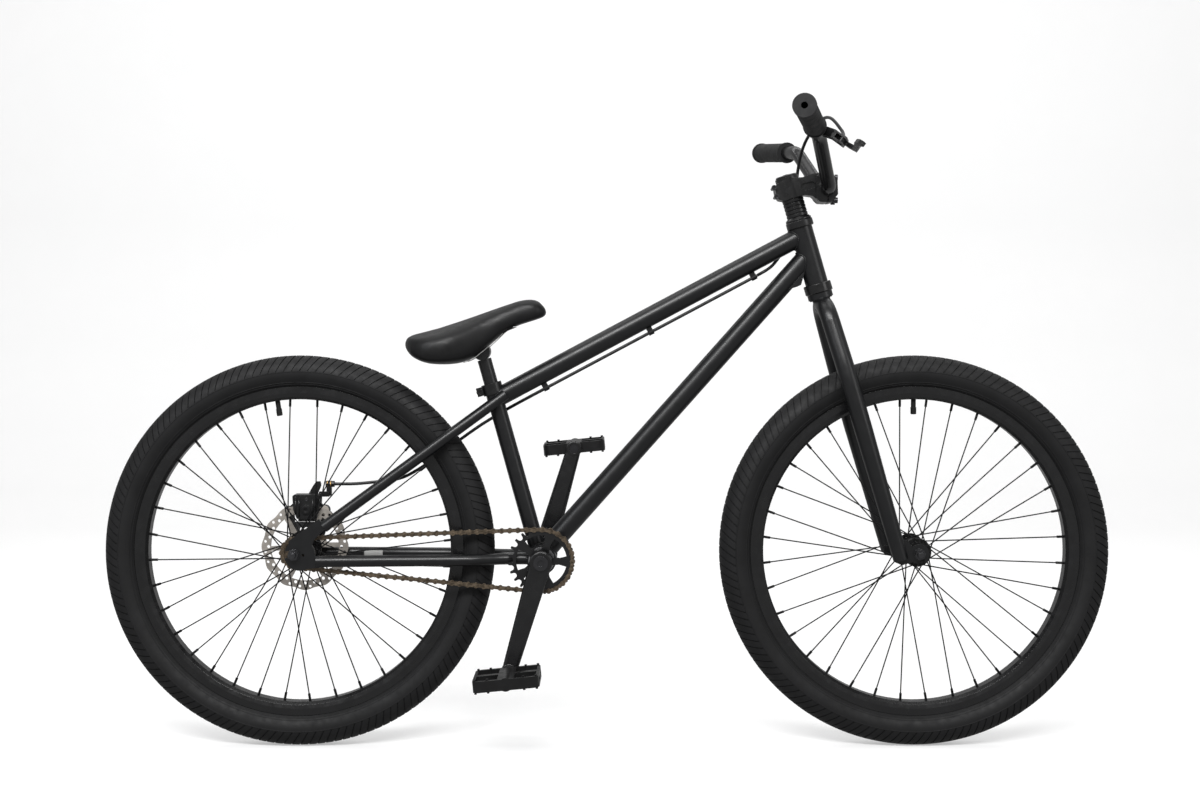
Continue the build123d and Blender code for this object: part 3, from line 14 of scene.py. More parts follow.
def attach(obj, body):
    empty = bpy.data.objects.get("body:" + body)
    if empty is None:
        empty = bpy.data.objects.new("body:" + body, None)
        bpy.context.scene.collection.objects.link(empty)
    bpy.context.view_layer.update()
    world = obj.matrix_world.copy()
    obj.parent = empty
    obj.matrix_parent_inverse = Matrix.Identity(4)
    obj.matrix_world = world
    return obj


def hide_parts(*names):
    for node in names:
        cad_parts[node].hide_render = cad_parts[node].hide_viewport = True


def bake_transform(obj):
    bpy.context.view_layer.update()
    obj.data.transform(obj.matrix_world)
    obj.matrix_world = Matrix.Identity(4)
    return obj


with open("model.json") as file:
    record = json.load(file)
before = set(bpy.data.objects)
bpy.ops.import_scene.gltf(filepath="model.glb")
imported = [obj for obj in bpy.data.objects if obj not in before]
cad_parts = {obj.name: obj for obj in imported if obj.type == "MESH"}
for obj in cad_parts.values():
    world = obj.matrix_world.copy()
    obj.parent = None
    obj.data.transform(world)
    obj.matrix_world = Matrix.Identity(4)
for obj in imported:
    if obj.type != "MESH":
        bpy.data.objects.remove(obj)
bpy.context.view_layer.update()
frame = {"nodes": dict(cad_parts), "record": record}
random.seed(24)
rng = np.random.default_rng(24)
MM = 0.001

# ----------------------------------------------------------------------------
# finishes
# ----------------------------------------------------------------------------


def surface(name, base, rough, metal=0.0, coat=0.0, coat_rough=0.2, spec=0.5, tone=0.2, tone_scale=16.0,
            rough_span=0.08, rough_scale=90.0, grain=1500.0, depth=0.03, edge=0.0, cells=False, streak=None,
            dust=0.0, specks=0.0):
    m = bpy.data.materials.new(name)
    m.use_nodes = True
    t = m.node_tree
    b = t.nodes["Principled BSDF"]
    b.inputs["Metallic"].default_value = metal
    b.inputs["Coat Weight"].default_value = coat
    b.inputs["Coat Roughness"].default_value = coat_rough
    b.inputs["Specular IOR Level"].default_value = spec
    co = t.nodes.new("ShaderNodeTexCoord").outputs["Object"]

    def noise(scale, detail=4.0, stretch=None):
        n = t.nodes.new("ShaderNodeTexNoise")
        n.inputs["Scale"].default_value = scale
        n.inputs["Detail"].default_value = detail
        src = co
        if stretch:
            mp = t.nodes.new("ShaderNodeMapping")
            mp.inputs["Scale"].default_value = stretch
            t.links.new(co, mp.inputs["Vector"])
            src = mp.outputs["Vector"]
        t.links.new(src, n.inputs["Vector"])
        return n.outputs["Fac"]

    def span(value, a, b_, lo, hi):
        n = t.nodes.new("ShaderNodeMapRange")
        for k, v in (("From Min", a), ("From Max", b_), ("To Min", lo), ("To Max", hi)):
            n.inputs[k].default_value = v
        t.links.new(value, n.inputs["Value"])
        return n.outputs["Result"]

    def mix(fac, a, b_):
        n = t.nodes.new("ShaderNodeMix")
        n.data_type = "RGBA"
        for sock, v in ((n.inputs[0], fac), (n.inputs[6], a), (n.inputs[7], b_)):
            if isinstance(v, (int, float)):
                sock.default_value = v
            elif isinstance(v, tuple):
                sock.default_value = (*v, 1.0)
            else:
                t.links.new(v, sock)
        return n.outputs[2]

    dark = tuple(c * (1 - tone) for c in base)
    light = tuple(min(1.0, c * (1 + tone)) for c in base)
    colour = mix(span(noise(tone_scale), 0.35, 0.65, 0, 1), dark, light)
    if streak:
        colour = mix(span(noise(60.0, 3.0, streak[0]), 0.52, 0.72, 0, streak[1]), colour, streak[2])
    if specks:
        colour = mix(span(noise(2600.0, 2.0), 0.66, 0.74, 0, specks), colour, tuple(min(1, c * 3 + 0.06) for c in base))
    if dust:
        up = t.nodes.new("ShaderNodeSeparateXYZ")
        t.links.new(t.nodes.new("ShaderNodeNewGeometry").outputs["Normal"], up.inputs[0])
        mul = t.nodes.new("ShaderNodeMath")
        mul.operation = "MULTIPLY"
        t.links.new(span(up.outputs["Z"], 0.2, 1.0, 0, 1), mul.inputs[0])
        t.links.new(span(noise(240.0, 6.0), 0.4, 0.8, 0, dust), mul.inputs[1])
        colour = mix(mul.outputs[0], colour, (0.32, 0.3, 0.28))
    t.links.new(colour, b.inputs["Base Color"])
    t.links.new(span(noise(rough_scale, 5.0), 0.3, 0.7, max(0.04, rough - rough_span), min(1, rough + rough_span)),
                b.inputs["Roughness"])
    bump = t.nodes.new("ShaderNodeBump")
    bump.inputs["Strength"].default_value = 1.0
    bump.inputs["Distance"].default_value = depth * MM
    if cells:
        v = t.nodes.new("ShaderNodeTexVoronoi")
        v.inputs["Scale"].default_value = grain
        t.links.new(co, v.inputs["Vector"])
        add = t.nodes.new("ShaderNodeMath")
        add.operation = "ADD"
        t.links.new(span(v.outputs["Distance"], 0, 0.7, 1, 0), add.inputs[0])
        t.links.new(span(noise(grain * 0.35), 0.3, 0.7, 0, 0.6), add.inputs[1])
        t.links.new(add.outputs[0], bump.inputs["Height"])
    else:
        t.links.new(noise(grain, 5.0), bump.inputs["Height"])
    if edge:
        bev = t.nodes.new("ShaderNodeBevel")
        bev.samples = 4
        bev.inputs["Radius"].default_value = edge * MM
        t.links.new(bev.outputs["Normal"], bump.inputs["Normal"])
    t.links.new(bump.outputs["Normal"], b.inputs["Normal"])
    return m


M = {
    "frame_paint": surface("frame_paint", (0.0042, 0.0044, 0.0050), 0.33, spec=0.46, tone=0.12,
                           grain=900, depth=0.012, edge=0.5, rough_span=0.04),
    "black_alloy": surface("black_alloy", (0.0050, 0.0050, 0.0053), 0.28, spec=0.5, grain=1800, depth=0.015, edge=0.6),
    "bar_black": surface("bar_black", (0.0045, 0.0045, 0.0050), 0.22, spec=0.55, tone=0.1, grain=800,
                         depth=0.006, edge=0.4, rough_span=0.04),
    "grey_alloy": surface("grey_alloy", (0.13, 0.13, 0.135), 0.42, metal=0.9, grain=2400, depth=0.02, edge=0.5, specks=0.3),
    "bearing_steel": surface("bearing_steel", (0.42, 0.42, 0.43), 0.25, metal=1.0, edge=0.3, depth=0.01),
    "dark_steel": surface("dark_steel", (0.045, 0.045, 0.048), 0.30, metal=0.8, grain=2000, depth=0.02, edge=0.4, specks=0.2),
    "bright_steel": surface("bright_steel", (0.070, 0.070, 0.074), 0.26, metal=0.9, grain=2200, depth=0.01, edge=0.5),
    "black_plastic": surface("black_plastic", (0.0055, 0.0055, 0.0058), 0.48, spec=0.25, grain=1600, depth=0.03, edge=0.4),
    "housing_plastic": surface("housing_plastic", (0.006, 0.006, 0.0065), 0.36, spec=0.4, grain=700, depth=0.012),
    "chain_brown": surface("chain_brown", (0.120, 0.092, 0.064), 0.38, metal=0.7, tone=0.5, tone_scale=220, grain=1500,
                           depth=0.03, edge=0.25, specks=0.5),
    "saddle_cover": surface("saddle_cover", (0.0042, 0.0042, 0.0045), 0.40, spec=0.3, tone=0.18,
                            grain=900, depth=0.05, cells=True, rough_span=0.06),
    "grip_rubber": surface("grip_rubber", (0.0105, 0.0105, 0.011), 0.66, spec=0.3, tone=0.2, grain=1300, depth=0.10, cells=True),
    "pad_compound": surface("pad_compound", (0.09, 0.075, 0.06), 0.8, grain=1800, depth=0.06, specks=0.5),
    "spoke_black": surface("spoke_black", (0.004, 0.004, 0.0044), 0.40, spec=0.2, grain=1200, depth=0.01),
    "rim_black": surface("rim_black", (0.0042, 0.0042, 0.0046), 0.26, spec=0.55, grain=1400, depth=0.012, edge=0.5),
    "tyre_black": surface("tyre_black", (0.0052, 0.0052, 0.0056), 0.62, tone=0.22, tone_scale=30, grain=1700, depth=0.05, spec=0.30,
                          rough_span=0.1, dust=0.012),
    "tube_rubber": surface("tube_rubber", (0.006, 0.006, 0.006), 0.6, spec=0.25, grain=1400, depth=0.03),
    "rotor_steel": surface("rotor_steel", (0.46, 0.425, 0.385), 0.40, metal=0.6, tone=0.2, grain=2200, depth=0.012,
                           edge=0.25, streak=((1.0, 1.0, 14.0), 0.4, (0.28, 0.25, 0.22))),
    "crank_black": surface("crank_black", (0.0042, 0.0042, 0.0046), 0.26, spec=0.55, grain=900, depth=0.008, edge=0.8),
    "pedal_black": surface("pedal_black", (0.0055, 0.0055, 0.0058), 0.36, spec=0.35, grain=1500, depth=0.03, edge=0.5, dust=0.01),
}
brass = surface("brass", (0.45, 0.28, 0.10), 0.35, metal=0.95, grain=1800, depth=0.02)
sticker_grey = surface("sticker_grey", (0.42, 0.42, 0.41), 0.45, tone=0.06, grain=500, depth=0.01)
# pale colour for the painted edge highlight under the seat pad
painted_highlight_pale = surface("painted_highlight_pale", (0.30, 0.30, 0.29), 0.6, tone=0.2, tone_scale=120, grain=1400, depth=0.05)
# matte near-black for the painted shade inside the vent holes
hole_painted_shade = surface("hole_painted_shade", (0.004, 0.004, 0.004), 0.9, grain=900, depth=0.02)

slots = {s["node"]: s["material_slot"] for s in frame["record"].get("subparts", [])}
for name, o in frame["nodes"].items():
    o.data.materials.clear()
    o.data.materials.append(M[slots[name]])

# ----------------------------------------------------------------------------
# helpers
# ----------------------------------------------------------------------------


def mesh_piece(name, verts, faces, material, smooth=True, body=None):
    me = bpy.data.meshes.new(name)
    me.from_pydata([tuple(v) for v in verts], [], faces)
    me.validate()
    me.update()
    if smooth:
        me.shade_smooth()
    o = bpy.data.objects.new(name, me)
    bpy.context.scene.collection.objects.link(o)
    o.data.materials.append(material)
    if body:
        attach(o, body)
    return o


def frames_along(pts, closed=False):
    """Tangent and two cross directions at every point, without twist."""
    n = len(pts)
    tan = []
    for i in range(n):
        a = pts[(i - 1) % n] if closed or i else pts[0]
        b = pts[(i + 1) % n] if closed or i < n - 1 else pts[-1]
        tan.append((b - a).normalized())
    ref = Vector((0, 1, 0)) if abs(tan[0].y) < 0.9 else Vector((1, 0, 0))
    e = (ref - tan[0] * ref.dot(tan[0])).normalized()
    out = []
    for d in tan:
        e = (e - d * e.dot(d)).normalized()
        out.append((d, e, d.cross(e)))
    return out


def tube_along(pts, radius, sides=12, closed=False, ripple=None, ends=True):
    """Vertices and faces of a tube; ripple(i) scales its radius at point i."""
    fr = frames_along(pts, closed)
    verts, faces = [], []
    for i, (p, (_, e, f)) in enumerate(zip(pts, fr)):
        r = radius * (ripple(i) if ripple else 1)
        for k in range(sides):
            a = 2 * math.pi * k / sides
            verts.append(p + e * (r * math.cos(a)) + f * (r * math.sin(a)))
    n = len(pts)
    for i in range(n if closed else n - 1):
        j = (i + 1) % n
        shift = 0
        if closed and j == 0:
            # line the last ring up with the first
            best = None
            for s in range(sides):
                dist = (verts[(n - 1) * sides] - verts[s]).length
                if best is None or dist < best:
                    best, shift = dist, s
        for k in range(sides):
            a, b = i * sides + k, i * sides + (k + 1) % sides
            c, d = j * sides + (k + 1 + shift) % sides, j * sides + (k + shift) % sides
            faces.append((a, b, c, d))
    if not closed and ends:
        faces.append(tuple(range(sides - 1, -1, -1)))
        faces.append(tuple((n - 1) * sides + k for k in range(sides)))
    return verts, faces


def fillet_path(points, radii, step=2.0):
    """Points in mm along straight lines joined by arcs."""
    pts = [Vector(p) for p in points]
    out = [pts[0]]
    for i in range(1, len(pts) - 1):
        a, p, b = pts[i - 1], pts[i], pts[i + 1]
        u, v = (a - p).normalized(), (b - p).normalized()
        ang = u.angle(v)
        r = radii[i - 1]
        t = r / math.tan(ang / 2)
        s, e = p + u * t, p + v * t
        c = p + (u + v).normalized() * (r / math.sin(ang / 2))
        sweep = math.pi - ang
        m = max(3, int(sweep * r / step))
        w = (s - c).normalized()
        axis = w.cross((e - c).normalized()).normalized()
        for k in range(m + 1):
            out.append(c + (Matrix.Rotation(sweep * k / m, 3, axis) @ w) * r)
    out.append(pts[-1])
    clean = [out[0]]
    for p in out[1:]:
        if (p - clean[-1]).length > 0.4:
            clean.append(p)
    return [p * MM for p in clean]


SA, CA = math.sin(math.radians(16)), math.cos(math.radians(16))


def steer(s, t=0.0, y=0.0):
    return Vector((316.5 - SA * s + CA * t, y, 785.3 + CA * s + SA * t))


def seat(s, t=0.0, y=0.0):
    n = math.hypot(0.2813, 1.0)
    return Vector((-106.2 - 0.2813 / n * s + t / n, y, 296.0 + s / n + 0.2813 / n * t))


FA, RA, BB = (485.5, 308.0), (-485.5, 308.0), (-102.4, 296.0)

# ----------------------------------------------------------------------------
# tyres: rounded section, slanted shoulder grooves, a band edge and bead lines
# ----------------------------------------------------------------------------
PITCHES = 143
COLUMNS = [(0.0, 0), (0.035, 1), (0.14, 1), (0.175, 0), (0.40, 0), (0.60, 0), (0.80, 0)]


def tyre(name, c, body, turn):
    half = [(0, .55, 0), (5, .55, 0), (9, .7, 0), (11, 1, 0)] + [(a, 1, 0) for a in range(18, 80, 7)]
    half += [(82, 1, 0), (83.6, 0, 0), (84.6, 0, .55), (86.4, 0, .55), (87.4, 0, 0), (94, 0, 0), (102, 0, 0), (110, 0, 0),
             (117, 0, 0), (122.5, 0, 0), (123.3, 0, .35), (124.8, 0, .35), (125.6, 0, 0), (130.5, 0, 0), (131.3, 0, .35),
             (132.8, 0, .35), (133.6, 0, 0), (138, 0, 0), (142, 0, 0)]
    outer = [(-a, g, h) for a, g, h in reversed(half[1:])] + half
    rows = [(a, 27.0, g, h) for a, g, h in outer]
    rows += [(a, 23.9, 0, 0) for a in (140, 115, 85, 50, 17, -17, -50, -85, -115, -140)]
    cols = PITCHES * len(COLUMNS)
    verts = np.zeros((len(rows), cols, 3))
    frac = np.array([(k + f) / PITCHES for k in range(PITCHES) for f, _ in COLUMNS]) * 2 * math.pi
    cut = np.array([g for _ in range(PITCHES) for _, g in COLUMNS], float)
    for i, (a, r, g, h) in enumerate(rows):
        ar = math.radians(a)
        rad = r + h - 1.5 * g * cut
        big = 281.0 + rad * math.cos(ar)
        slant = 0.0
        if r == 27.0 and abs(a) <= 84.7:
            slant = -(0.62 * (281 + 27 * math.cos(ar) - 284) + 0.10 * (84.0 - abs(a)) / 84.0 * 24) / 296.0
        th = frac + slant + turn
        verts[i, :, 0] = c[0] + big * np.cos(th)
        verts[i, :, 1] = rad * math.sin(ar)
        verts[i, :, 2] = c[1] + big * np.sin(th)
    n, m = len(rows), cols
    faces = []
    for i in range(n):
        j = (i + 1) % n
        for k in range(m):
            l = (k + 1) % m
            faces.append((i * m + k, j * m + k, j * m + l, i * m + l))
    o = mesh_piece(name, (verts.reshape(-1, 3) * MM).tolist(), faces, M["tyre_black"], smooth=False, body=body)
    return o


def smooth_by_angle(o, degrees):
    me = o.data
    me.shade_smooth()
    bm = bmesh.new()
    bm.from_mesh(me)
    bmesh.ops.recalc_face_normals(bm, faces=bm.faces)
    lim = math.radians(degrees)
    for e in bm.edges:
        e.smooth = len(e.link_faces) == 2 and e.calc_face_angle(0) < lim
    bm.to_mesh(me)
    bm.free()


for name, c, body, node, turn in (("front_tyre_tread", FA, "front_wheel", "front_tyre", 0.01),
                                  ("rear_tyre_tread", RA, "rear_wheel", "rear_tyre", 0.02)):
    o = tyre(name, c, body, turn)
    smooth_by_angle(o, 32)
    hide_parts(node)

# ----------------------------------------------------------------------------
# seat pad: crowned leatherette over foam
# ----------------------------------------------------------------------------
PAD_TOP = [(-319.6, 634.2), (-318.3, 640.7), (-313, 647.4), (-302.5, 650.4), (-286.8, 653.1), (-263.2, 658.6),
           (-236.9, 667), (-210.6, 676.2), (-184.3, 686.7), (-158, 696.5), (-137.1, 703.8), (-118.7, 706.5),
           (-108.1, 702.5), (-98.9, 693.3), (-94.1, 684.1)]
PAD_LOW = [(-319.6, 630), (-314.4, 622.4), (-307.7, 614.4), (-294.7, 606.5), (-276.2, 602.0), (-255.3, 601.0),
           (-236.9, 602.6), (-219.9, 606.6), (-205.7, 613.8), (-190, 627), (-173.5, 641.9), (-163.2, 652.0),
           (-144.8, 661.8), (-123.9, 668.3), (-102.8, 675), (-94.1, 681)]
PAD_WIDE = [(-319.6, 12), (-316, 30), (-309, 43), (-297, 55), (-283, 63), (-263, 66), (-247, 65), (-230, 58), (-212, 49),
            (-192, 39), (-172, 33), (-152, 29), (-133, 27), (-118, 25.5), (-106, 21), (-98, 14), (-94.1, 5)]


def lerp(table, x):
    return float(np.interp(x, [p[0] for p in table], [p[1] for p in table]))


def power(v, e):
    return math.copysign(abs(v) ** e, v)


def pad_mesh():
    xs = [-319.2, -317.5, -314, -308, -300, -290, -278, -264, -250, -236, -222, -208, -194, -180, -166, -152, -138, -126,
          -116, -108, -102, -98, -95.2]
    ring = 40
    verts, faces = [], []
    for x in xs:
        zt, zl, w = lerp(PAD_TOP, x) - 0.9, lerp(PAD_LOW, x) + 0.5, lerp(PAD_WIDE, x) - 0.8
        w = max(w, 2.5)
        if zt - zl < 3:
            mid = (zt + zl) / 2
            zt, zl = mid + 1.5, mid - 1.5
        for k in range(ring):
            a = 2 * math.pi * k / ring
            cy, sz = math.cos(a), math.sin(a)
            y = w * power(cy, 0.62)
            if sz >= 0:
                z = zl + (zt - zl) * (0.42 + 0.58 * power(sz, 0.80))
            else:
                z = zl + (zt - zl) * (0.42 - 0.42 * power(-sz, 0.42))
            verts.append(Vector((x, y, z)) * MM)
    n = len(xs)
    for i in range(n - 1):
        for k in range(ring):
            l = (k + 1) % ring
            faces.append((i * ring + k, i * ring + l, (i + 1) * ring + l, (i + 1) * ring + k))
    faces.append(tuple(range(ring - 1, -1, -1)))
    faces.append(tuple((n - 1) * ring + k for k in range(ring)))
    return verts, faces


def only(o):
    bpy.ops.object.select_all(action="DESELECT")
    o.select_set(True)
    bpy.context.view_layer.objects.active = o


def apply_mod(o, kind, **props):
    m = o.modifiers.new(kind.title(), kind)
    for k, v in props.items():
        setattr(m, k, v)
    only(o)
    bpy.ops.object.modifier_apply(modifier=m.name)


pv, pf = pad_mesh()
pad = mesh_piece("saddle_padding", pv, pf, M["saddle_cover"])
bm = bmesh.new()
bm.from_mesh(pad.data)
bmesh.ops.recalc_face_normals(bm, faces=bm.faces)
bm.to_mesh(pad.data)
bm.free()
apply_mod(pad, "REMESH", mode="VOXEL", voxel_size=0.0045)
rest = np.array([v.co[:] for v in pad.data.vertices])
pinned = pad.vertex_groups.new(name="held")
under = [v.index for v in pad.data.vertices if v.normal.z < -0.55]
pinned.add(under, 1.0, "REPLACE")
cl = pad.modifiers.new("Cloth", "CLOTH")
cs = cl.settings
cs.quality = 6
cs.mass = 0.4
cs.tension_stiffness = cs.compression_stiffness = 25
cs.shear_stiffness = 12
cs.bending_stiffness = 6
cs.use_pressure = True
cs.uniform_pressure_force = 4.0
cs.vertex_group_mass = "held"
cs.effector_weights.gravity = 0.0
cl.collision_settings.use_collision = False
cl.point_cache.frame_start, cl.point_cache.frame_end = 1, 20
sc = bpy.context.scene
for f in range(1, 21):
    sc.frame_set(f)
dep = bpy.context.evaluated_depsgraph_get()
got = np.array([v.co[:] for v in pad.evaluated_get(dep).data.vertices])
pad.modifiers.remove(cl)
move = got - rest
size = np.linalg.norm(move, axis=1, keepdims=True)
print("pad moved by", float(size.max()), "m at most")
move *= np.minimum(1.0, 0.0024 / np.maximum(size, 1e-9))
pad.data.vertices.foreach_set("co", (rest + move).astype(np.float32).ravel())
pad.data.update()
pad.vertex_groups.clear()
sc.frame_set(1)
apply_mod(pad, "SMOOTH", factor=0.5, iterations=3)
apply_mod(pad, "SUBSURF", levels=1, render_levels=1)
# the hollow underneath that the base sits in
cav = [(-226, 585), (-226, 624), (-200, 650), (-168, 661.6), (-142.4, 661.6), (-142.4, 585)]
cv = [Vector((x, y, z)) * MM for y in (-20.6, 20.6) for x, z in cav]
cf = [tuple(range(6)), tuple(range(11, 5, -1))] + [(i, i + 6, (i + 1) % 6 + 6, (i + 1) % 6) for i in range(6)]
cutter = mesh_piece("cutter", cv, cf, M["black_plastic"], smooth=False)
bm = bmesh.new()
bm.from_mesh(cutter.data)
bmesh.ops.recalc_face_normals(bm, faces=bm.faces)
bm.to_mesh(cutter.data)
bm.free()
apply_mod(pad, "BOOLEAN", operation="DIFFERENCE", object=cutter, solver="EXACT")
bpy.data.objects.remove(cutter)
pad.data.shade_smooth()
smooth_by_angle(pad, 50)
pad.data.materials.clear()
pad.data.materials.append(M["saddle_cover"])
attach(pad, "saddle")
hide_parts("saddle_pad")

# ----------------------------------------------------------------------------
# front length of brake housing, bending between bars and frame
# ----------------------------------------------------------------------------
FRONT_ROUTE = [(346.460, -174.040, 943.295), (357.486, -146.879, 949.678), (342.000, -120.000, 978.000), (335.000, -84.000, 984.000), (323.000, -40.000, 974.000), (311.000, 2.000, 948.000), (305.000, 24.000, 915.000), (303.000, 31.000, 878.000), (300.000, 33.000, 842.000), (290.000, 30.000, 806.000), (277.000, 20.000, 775.000), (260.000, 5.500, 755.200), (238.800, 0.100, 743.150)]
FRONT_RADII = [26.47, 49.92, 85.76, 129.68, 82.80, 81.53, 241.65, 140.08, 129.31, 73.76, 51.28]
route = fillet_path(FRONT_ROUTE, FRONT_RADII, 2.0)
hv, hf = tube_along(route, 2.5 * MM, sides=14)
hose = mesh_piece("front_housing_flex", hv, hf, M["housing_plastic"])
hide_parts("front_brake_housing")
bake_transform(hose)

# ----------------------------------------------------------------------------
# weld beads where tubes meet
# ----------------------------------------------------------------------------


def weld(name, p, q, r, b0, b1, big, body="frame", bead=1.7, period=2.6, keep=None):
    """A rippled bead round tube p-q (radius r, heading to q) where it lands on round bar b0-b1 (radius big)."""
    p, q, b0, b1 = (Vector(v) for v in (p, q, b0, b1))
    u, v = (q - p).normalized(), (b1 - b0).normalized()
    e1 = u.orthogonal().normalized()
    e2 = u.cross(e1)
    pts = []
    steps = max(48, int(2 * math.pi * r / 0.55))
    for k in range(steps):
        a = 2 * math.pi * k / steps
        s = p + e1 * (r * math.cos(a)) + e2 * (r * math.sin(a))
        w = s - b0
        du, dw = u - v * u.dot(v), w - v * w.dot(v)
        A, B, C = du.dot(du), 2 * du.dot(dw), dw.dot(dw) - big * big
        disc = B * B - 4 * A * C
        if disc < 0:
            return None
        pts.append((s + u * ((-B - math.sqrt(disc)) / (2 * A))) * MM)
    gap = sum((pts[i] - pts[i - 1]).length for i in range(len(pts))) / len(pts) / MM
    wob = [rng.normal(0, 0.04) for _ in pts]
    per = max(2, round(len(pts) * gap / period))
    bead_v, bead_f = tube_along(pts, bead * MM, sides=8, closed=True,
                                ripple=lambda i: 1 + 0.13 * math.cos(2 * math.pi * per * i / len(pts)) + wob[i] * 0.5)
    return mesh_piece(name, bead_v, bead_f, M["frame_paint"], body=body)


weld("weld_top_head", (-172, 0, 549.76), (304, 0, 803.25), 15, steer(-57), steer(34), 18)
weld("weld_down_head", (-106.9, 0, 296), (319, 0, 774.5), 16, steer(-57), steer(34), 18)
weld("weld_top_seat", (304, 0, 803.25), (-172, 0, 549.76), 15, seat(0), seat(283), 13)
weld("weld_down_shell", (319, 0, 774.5), (-106.9, 0, 296), 16, (BB[0], -34, BB[1]), (BB[0], 34, BB[1]), 23)
weld("weld_seat_shell", seat(283), seat(4), 13, (BB[0], -34, BB[1]), (BB[0], 34, BB[1]), 23)
for side, tag in ((-1, "right"), (1, "left")):
    weld("weld_chainstay_" + tag, (-162, 24.5 * side, 297), (-118, 24 * side, 297), 9, (BB[0], -34, BB[1]), (BB[0], 34, BB[1]), 23, bead=1.4)

# ----------------------------------------------------------------------------
# small things seen on the bike
# ----------------------------------------------------------------------------


def puck(name, at, axis, r, h, material, body, sides=28, bevel=0.25, hexagon=None, dome=0.0):
    """A short turned button with a rounded edge, and a six-sided socket if asked."""
    at, n = Vector(at), Vector(axis).normalized()
    e = n.orthogonal().normalized()
    f = n.cross(e)
    verts, faces = [], []
    prof = [(r, 0), (r, h - bevel), (r - bevel * 0.3, h - bevel * 0.3), (r - bevel, h)]
    if hexagon:
        prof += [(hexagon * 1.02, h + dome * 0.5), (hexagon, h - 0.2), (hexagon, h * 0.35)]
    else:
        prof += [(r * 0.6, h + dome * 0.7), (r * 0.25, h + dome)]
    for i, (pr, ph) in enumerate(prof):
        for k in range(sides):
            a = 2 * math.pi * k / sides
            rr = pr
            if hexagon and i >= len(prof) - 2:
                seg = math.pi / 3
                rr = pr * math.cos(seg / 2) / math.cos((a % seg) - seg / 2)
            verts.append((at + n * ph + e * (rr * math.cos(a)) + f * (rr * math.sin(a))) * MM)
    m = len(prof)
    for i in range(m - 1):
        for k in range(sides):
            l = (k + 1) % sides
            faces.append((i * sides + k, i * sides + l, (i + 1) * sides + l, (i + 1) * sides + k))
    faces.append(tuple(range(sides - 1, -1, -1)))
    faces.append(tuple((m - 1) * sides + k for k in range(sides)))
    o = mesh_piece(name, verts, faces, material, smooth=True, body=body)
    smooth_by_angle(o, 40)
    return o


# painted highlight: a pale line along the pad's underside, by the post, standing in for light caught on the base's edge
for side, tag in ((-1, "right"), (1, "left")):
    edge = []
    for i in range(26):
        x = -224 + i * 2.4
        edge.append(Vector((x, side * (lerp(PAD_WIDE, x) - 9.5), lerp(PAD_LOW, x) - 0.1)) * MM)
    ev, ef = tube_along(edge, 0.55 * MM, sides=8)
    mesh_piece("painted_edge_highlight_" + tag, ev, ef, painted_highlight_pale, body="saddle")

# blank sticker wrapped on the far chainstay
sv, sf = [], []
n_u, n_v = 10, 12
for i in range(n_u + 1):
    x = -391.0 + 30.0 * i / n_u
    cy = 41.5 + (57.5 - 41.5) * (-212 - x) / 240.0
    for j in range(n_v + 1):
        a = math.radians(150 + 75 * j / n_v)
        for_r = 9.12
        sv.append(Vector((x, cy + for_r * math.cos(a), 297 + for_r * math.sin(a))) * MM)
for i in range(n_u):
    for j in range(n_v):
        a = i * (n_v + 1) + j
        sf.append((a, a + 1, a + n_v + 2, a + n_v + 1))
sticker = mesh_piece("stay_sticker", sv, sf, sticker_grey, body="frame")
so = sticker.modifiers.new("Thickness", "SOLIDIFY")
so.thickness = 0.12 * MM

# two small vent holes in the head tube's right side, drawn as matte dark discs: painted shade for the inside of each
# hole
for s, tag in ((31.5, "upper"), (27.0, "lower")):
    at = steer(s, 1.5, -17.95)
    puck("head_vent_" + tag, at, (0.08, -1, 0), 1.5, 0.12, hole_painted_shade, "frame", sides=20, bevel=0.04)

# calliper details, on the side that faces the spokes
CX, CZ = -482.5, 373.5
for i, x in enumerate((-499.0, -493.5, -471.5, -466.0)):
    rib = [Vector((x, 30.7, 357 + 4 * (abs(x - CX) > 12))) * MM, Vector((x, 30.4, 372)) * MM, Vector((x, 30.7, 388)) * MM]
    rv, rf = tube_along(rib, 1.1 * MM, sides=8)
    mesh_piece("calliper_rib_%d" % i, rv, rf, M["black_alloy"], body="frame")
puck("calliper_dial", (CX, 30.5, CZ - 6), (0, -1, 0), 7.4, 1.5, M["black_plastic"], "frame", sides=36, bevel=0.5, hexagon=2.6)
puck("calliper_plug", (CX + 1, 31.1, CZ + 11), (0, -1, 0), 3.0, 0.9, M["bright_steel"], "frame", sides=24, hexagon=1.4)
for i, (x, z) in enumerate(((-499.5, 387), (-465.5, 387))):
    puck("calliper_screw_%d" % i, (x, 31.1, z), (0, -1, 0), 2.3, 0.8, M["dark_steel"], "frame", sides=24, hexagon=1.1)
for i, (x, z, r) in enumerate(((-447.2, 407.0, 5.4), (-452.5, 407.0, 5.4))):
    puck("stop_ring_%d" % i, (x, 59.5, z), (1, 0, 0), r, 1.4, brass, "frame", sides=28, bevel=0.3)
# ear bolts' bright washers
for i, (x, z) in enumerate(((-513.6, 363.7), (-455.0, 366.0))):
    puck("ear_washer_%d" % i, (x, 44.25, z), (0, -1, 0), 7.6, 0.6, M["rotor_steel"], "frame", sides=36, bevel=0.2, hexagon=2.6)

# crank bolt faces: a dark cap with a six-sided socket and a fine bright rim
for side, tag in ((-1, "right"), (1, "left")):
    puck("crank_bolt_face_" + tag, (BB[0], side * 70.6, BB[1]), (0, side, 0), 9.2, 1.3, M["dark_steel"], "crankset", sides=48,
         bevel=0.5, hexagon=4.0)

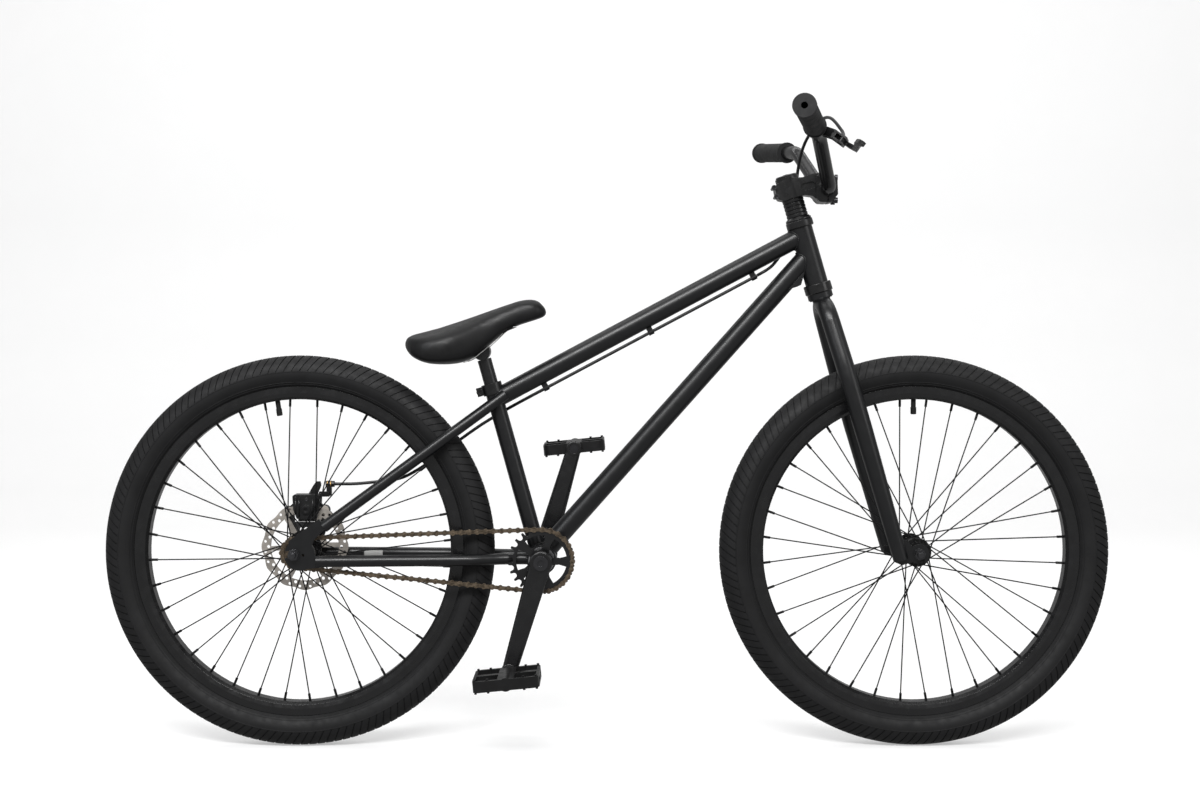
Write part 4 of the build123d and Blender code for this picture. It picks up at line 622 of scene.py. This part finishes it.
# ----------------------------------------------------------------------------
# floor, light and camera
# ----------------------------------------------------------------------------
floor_mat = surface("floor_pale", (0.62, 0.62, 0.62), 0.8, tone=0.01, grain=300, depth=0.02, spec=0.05)
glow = floor_mat.node_tree.nodes["Principled BSDF"]
glow.inputs["Emission Color"].default_value = (1, 1, 1, 1)
glow.inputs["Emission Strength"].default_value = 0.40
fl = 14.0
fv, ff = [], []
prof = [(-8.0, 0.0), (3.0, 0.0), (3.6, 0.06), (4.1, 0.25), (4.5, 0.6), (4.7, 1.1), (4.8, 6.0)]
for x in (-fl, fl):
    for y, z in prof:
        fv.append((x, y, z - 0.0002))
for i in range(len(prof) - 1):
    ff.append((i, i + len(prof), i + len(prof) + 1, i + 1))
floor = mesh_piece("floor", fv, ff, floor_mat)
# the pale floor lights nothing back, so undersides keep their depth
floor.visible_glossy = False
floor.visible_diffuse = False

bpy.context.scene.view_settings.view_transform = "Standard"
world = bpy.data.worlds.new("studio")
bpy.context.scene.world = world
world.use_nodes = True
bg = world.node_tree.nodes["Background"]
bg.inputs["Color"].default_value = (1, 1, 1, 1)
bg.inputs["Strength"].default_value = 0.38


def area(name, at, to, sx, sy, watts, colour=(1, 1, 1)):
    d = bpy.data.lights.new(name, "AREA")
    d.shape = "RECTANGLE"
    d.size, d.size_y = sx, sy
    d.energy = watts
    d.color = colour
    o = bpy.data.objects.new(name, d)
    o.location = at
    o.rotation_euler = (Vector(to) - Vector(at)).to_track_quat("-Z", "Y").to_euler()
    bpy.context.scene.collection.objects.link(o)
    return o


area("top_softbox", (0, 0.2, 3.0), (0, 0, 0.4), 3.6, 1.4, 26)
area("key_strip", (-0.4, -3.0, 2.9), (0, 0, 0.5), 3.4, 0.8, 165)
area("back_wash", (0, 2.4, 3.2), (0, 3.8, 0.4), 6.0, 1.0, 60)
area("left_softbox", (-2.6, -2.2, 1.9), (0, 0, 0.5), 1.2, 1.6, 16, (0.92, 0.95, 1.0))
area("right_softbox", (2.8, -1.8, 1.6), (0, 0, 0.5), 1.0, 1.6, 12)

cam_data = bpy.data.cameras.new("camera")
cam_data.sensor_width = 36.0
cam_data.lens = 53.0
cam_data.shift_x = -7 / 1200
cam_data.shift_y = -74 / 1200
cam = bpy.data.objects.new("camera", cam_data)
cam.location = (0.0, -2.8, 0.6626)
cam.rotation_euler = (math.radians(90), 0, 0)
bpy.context.scene.collection.objects.link(cam)
bpy.context.scene.camera = cam
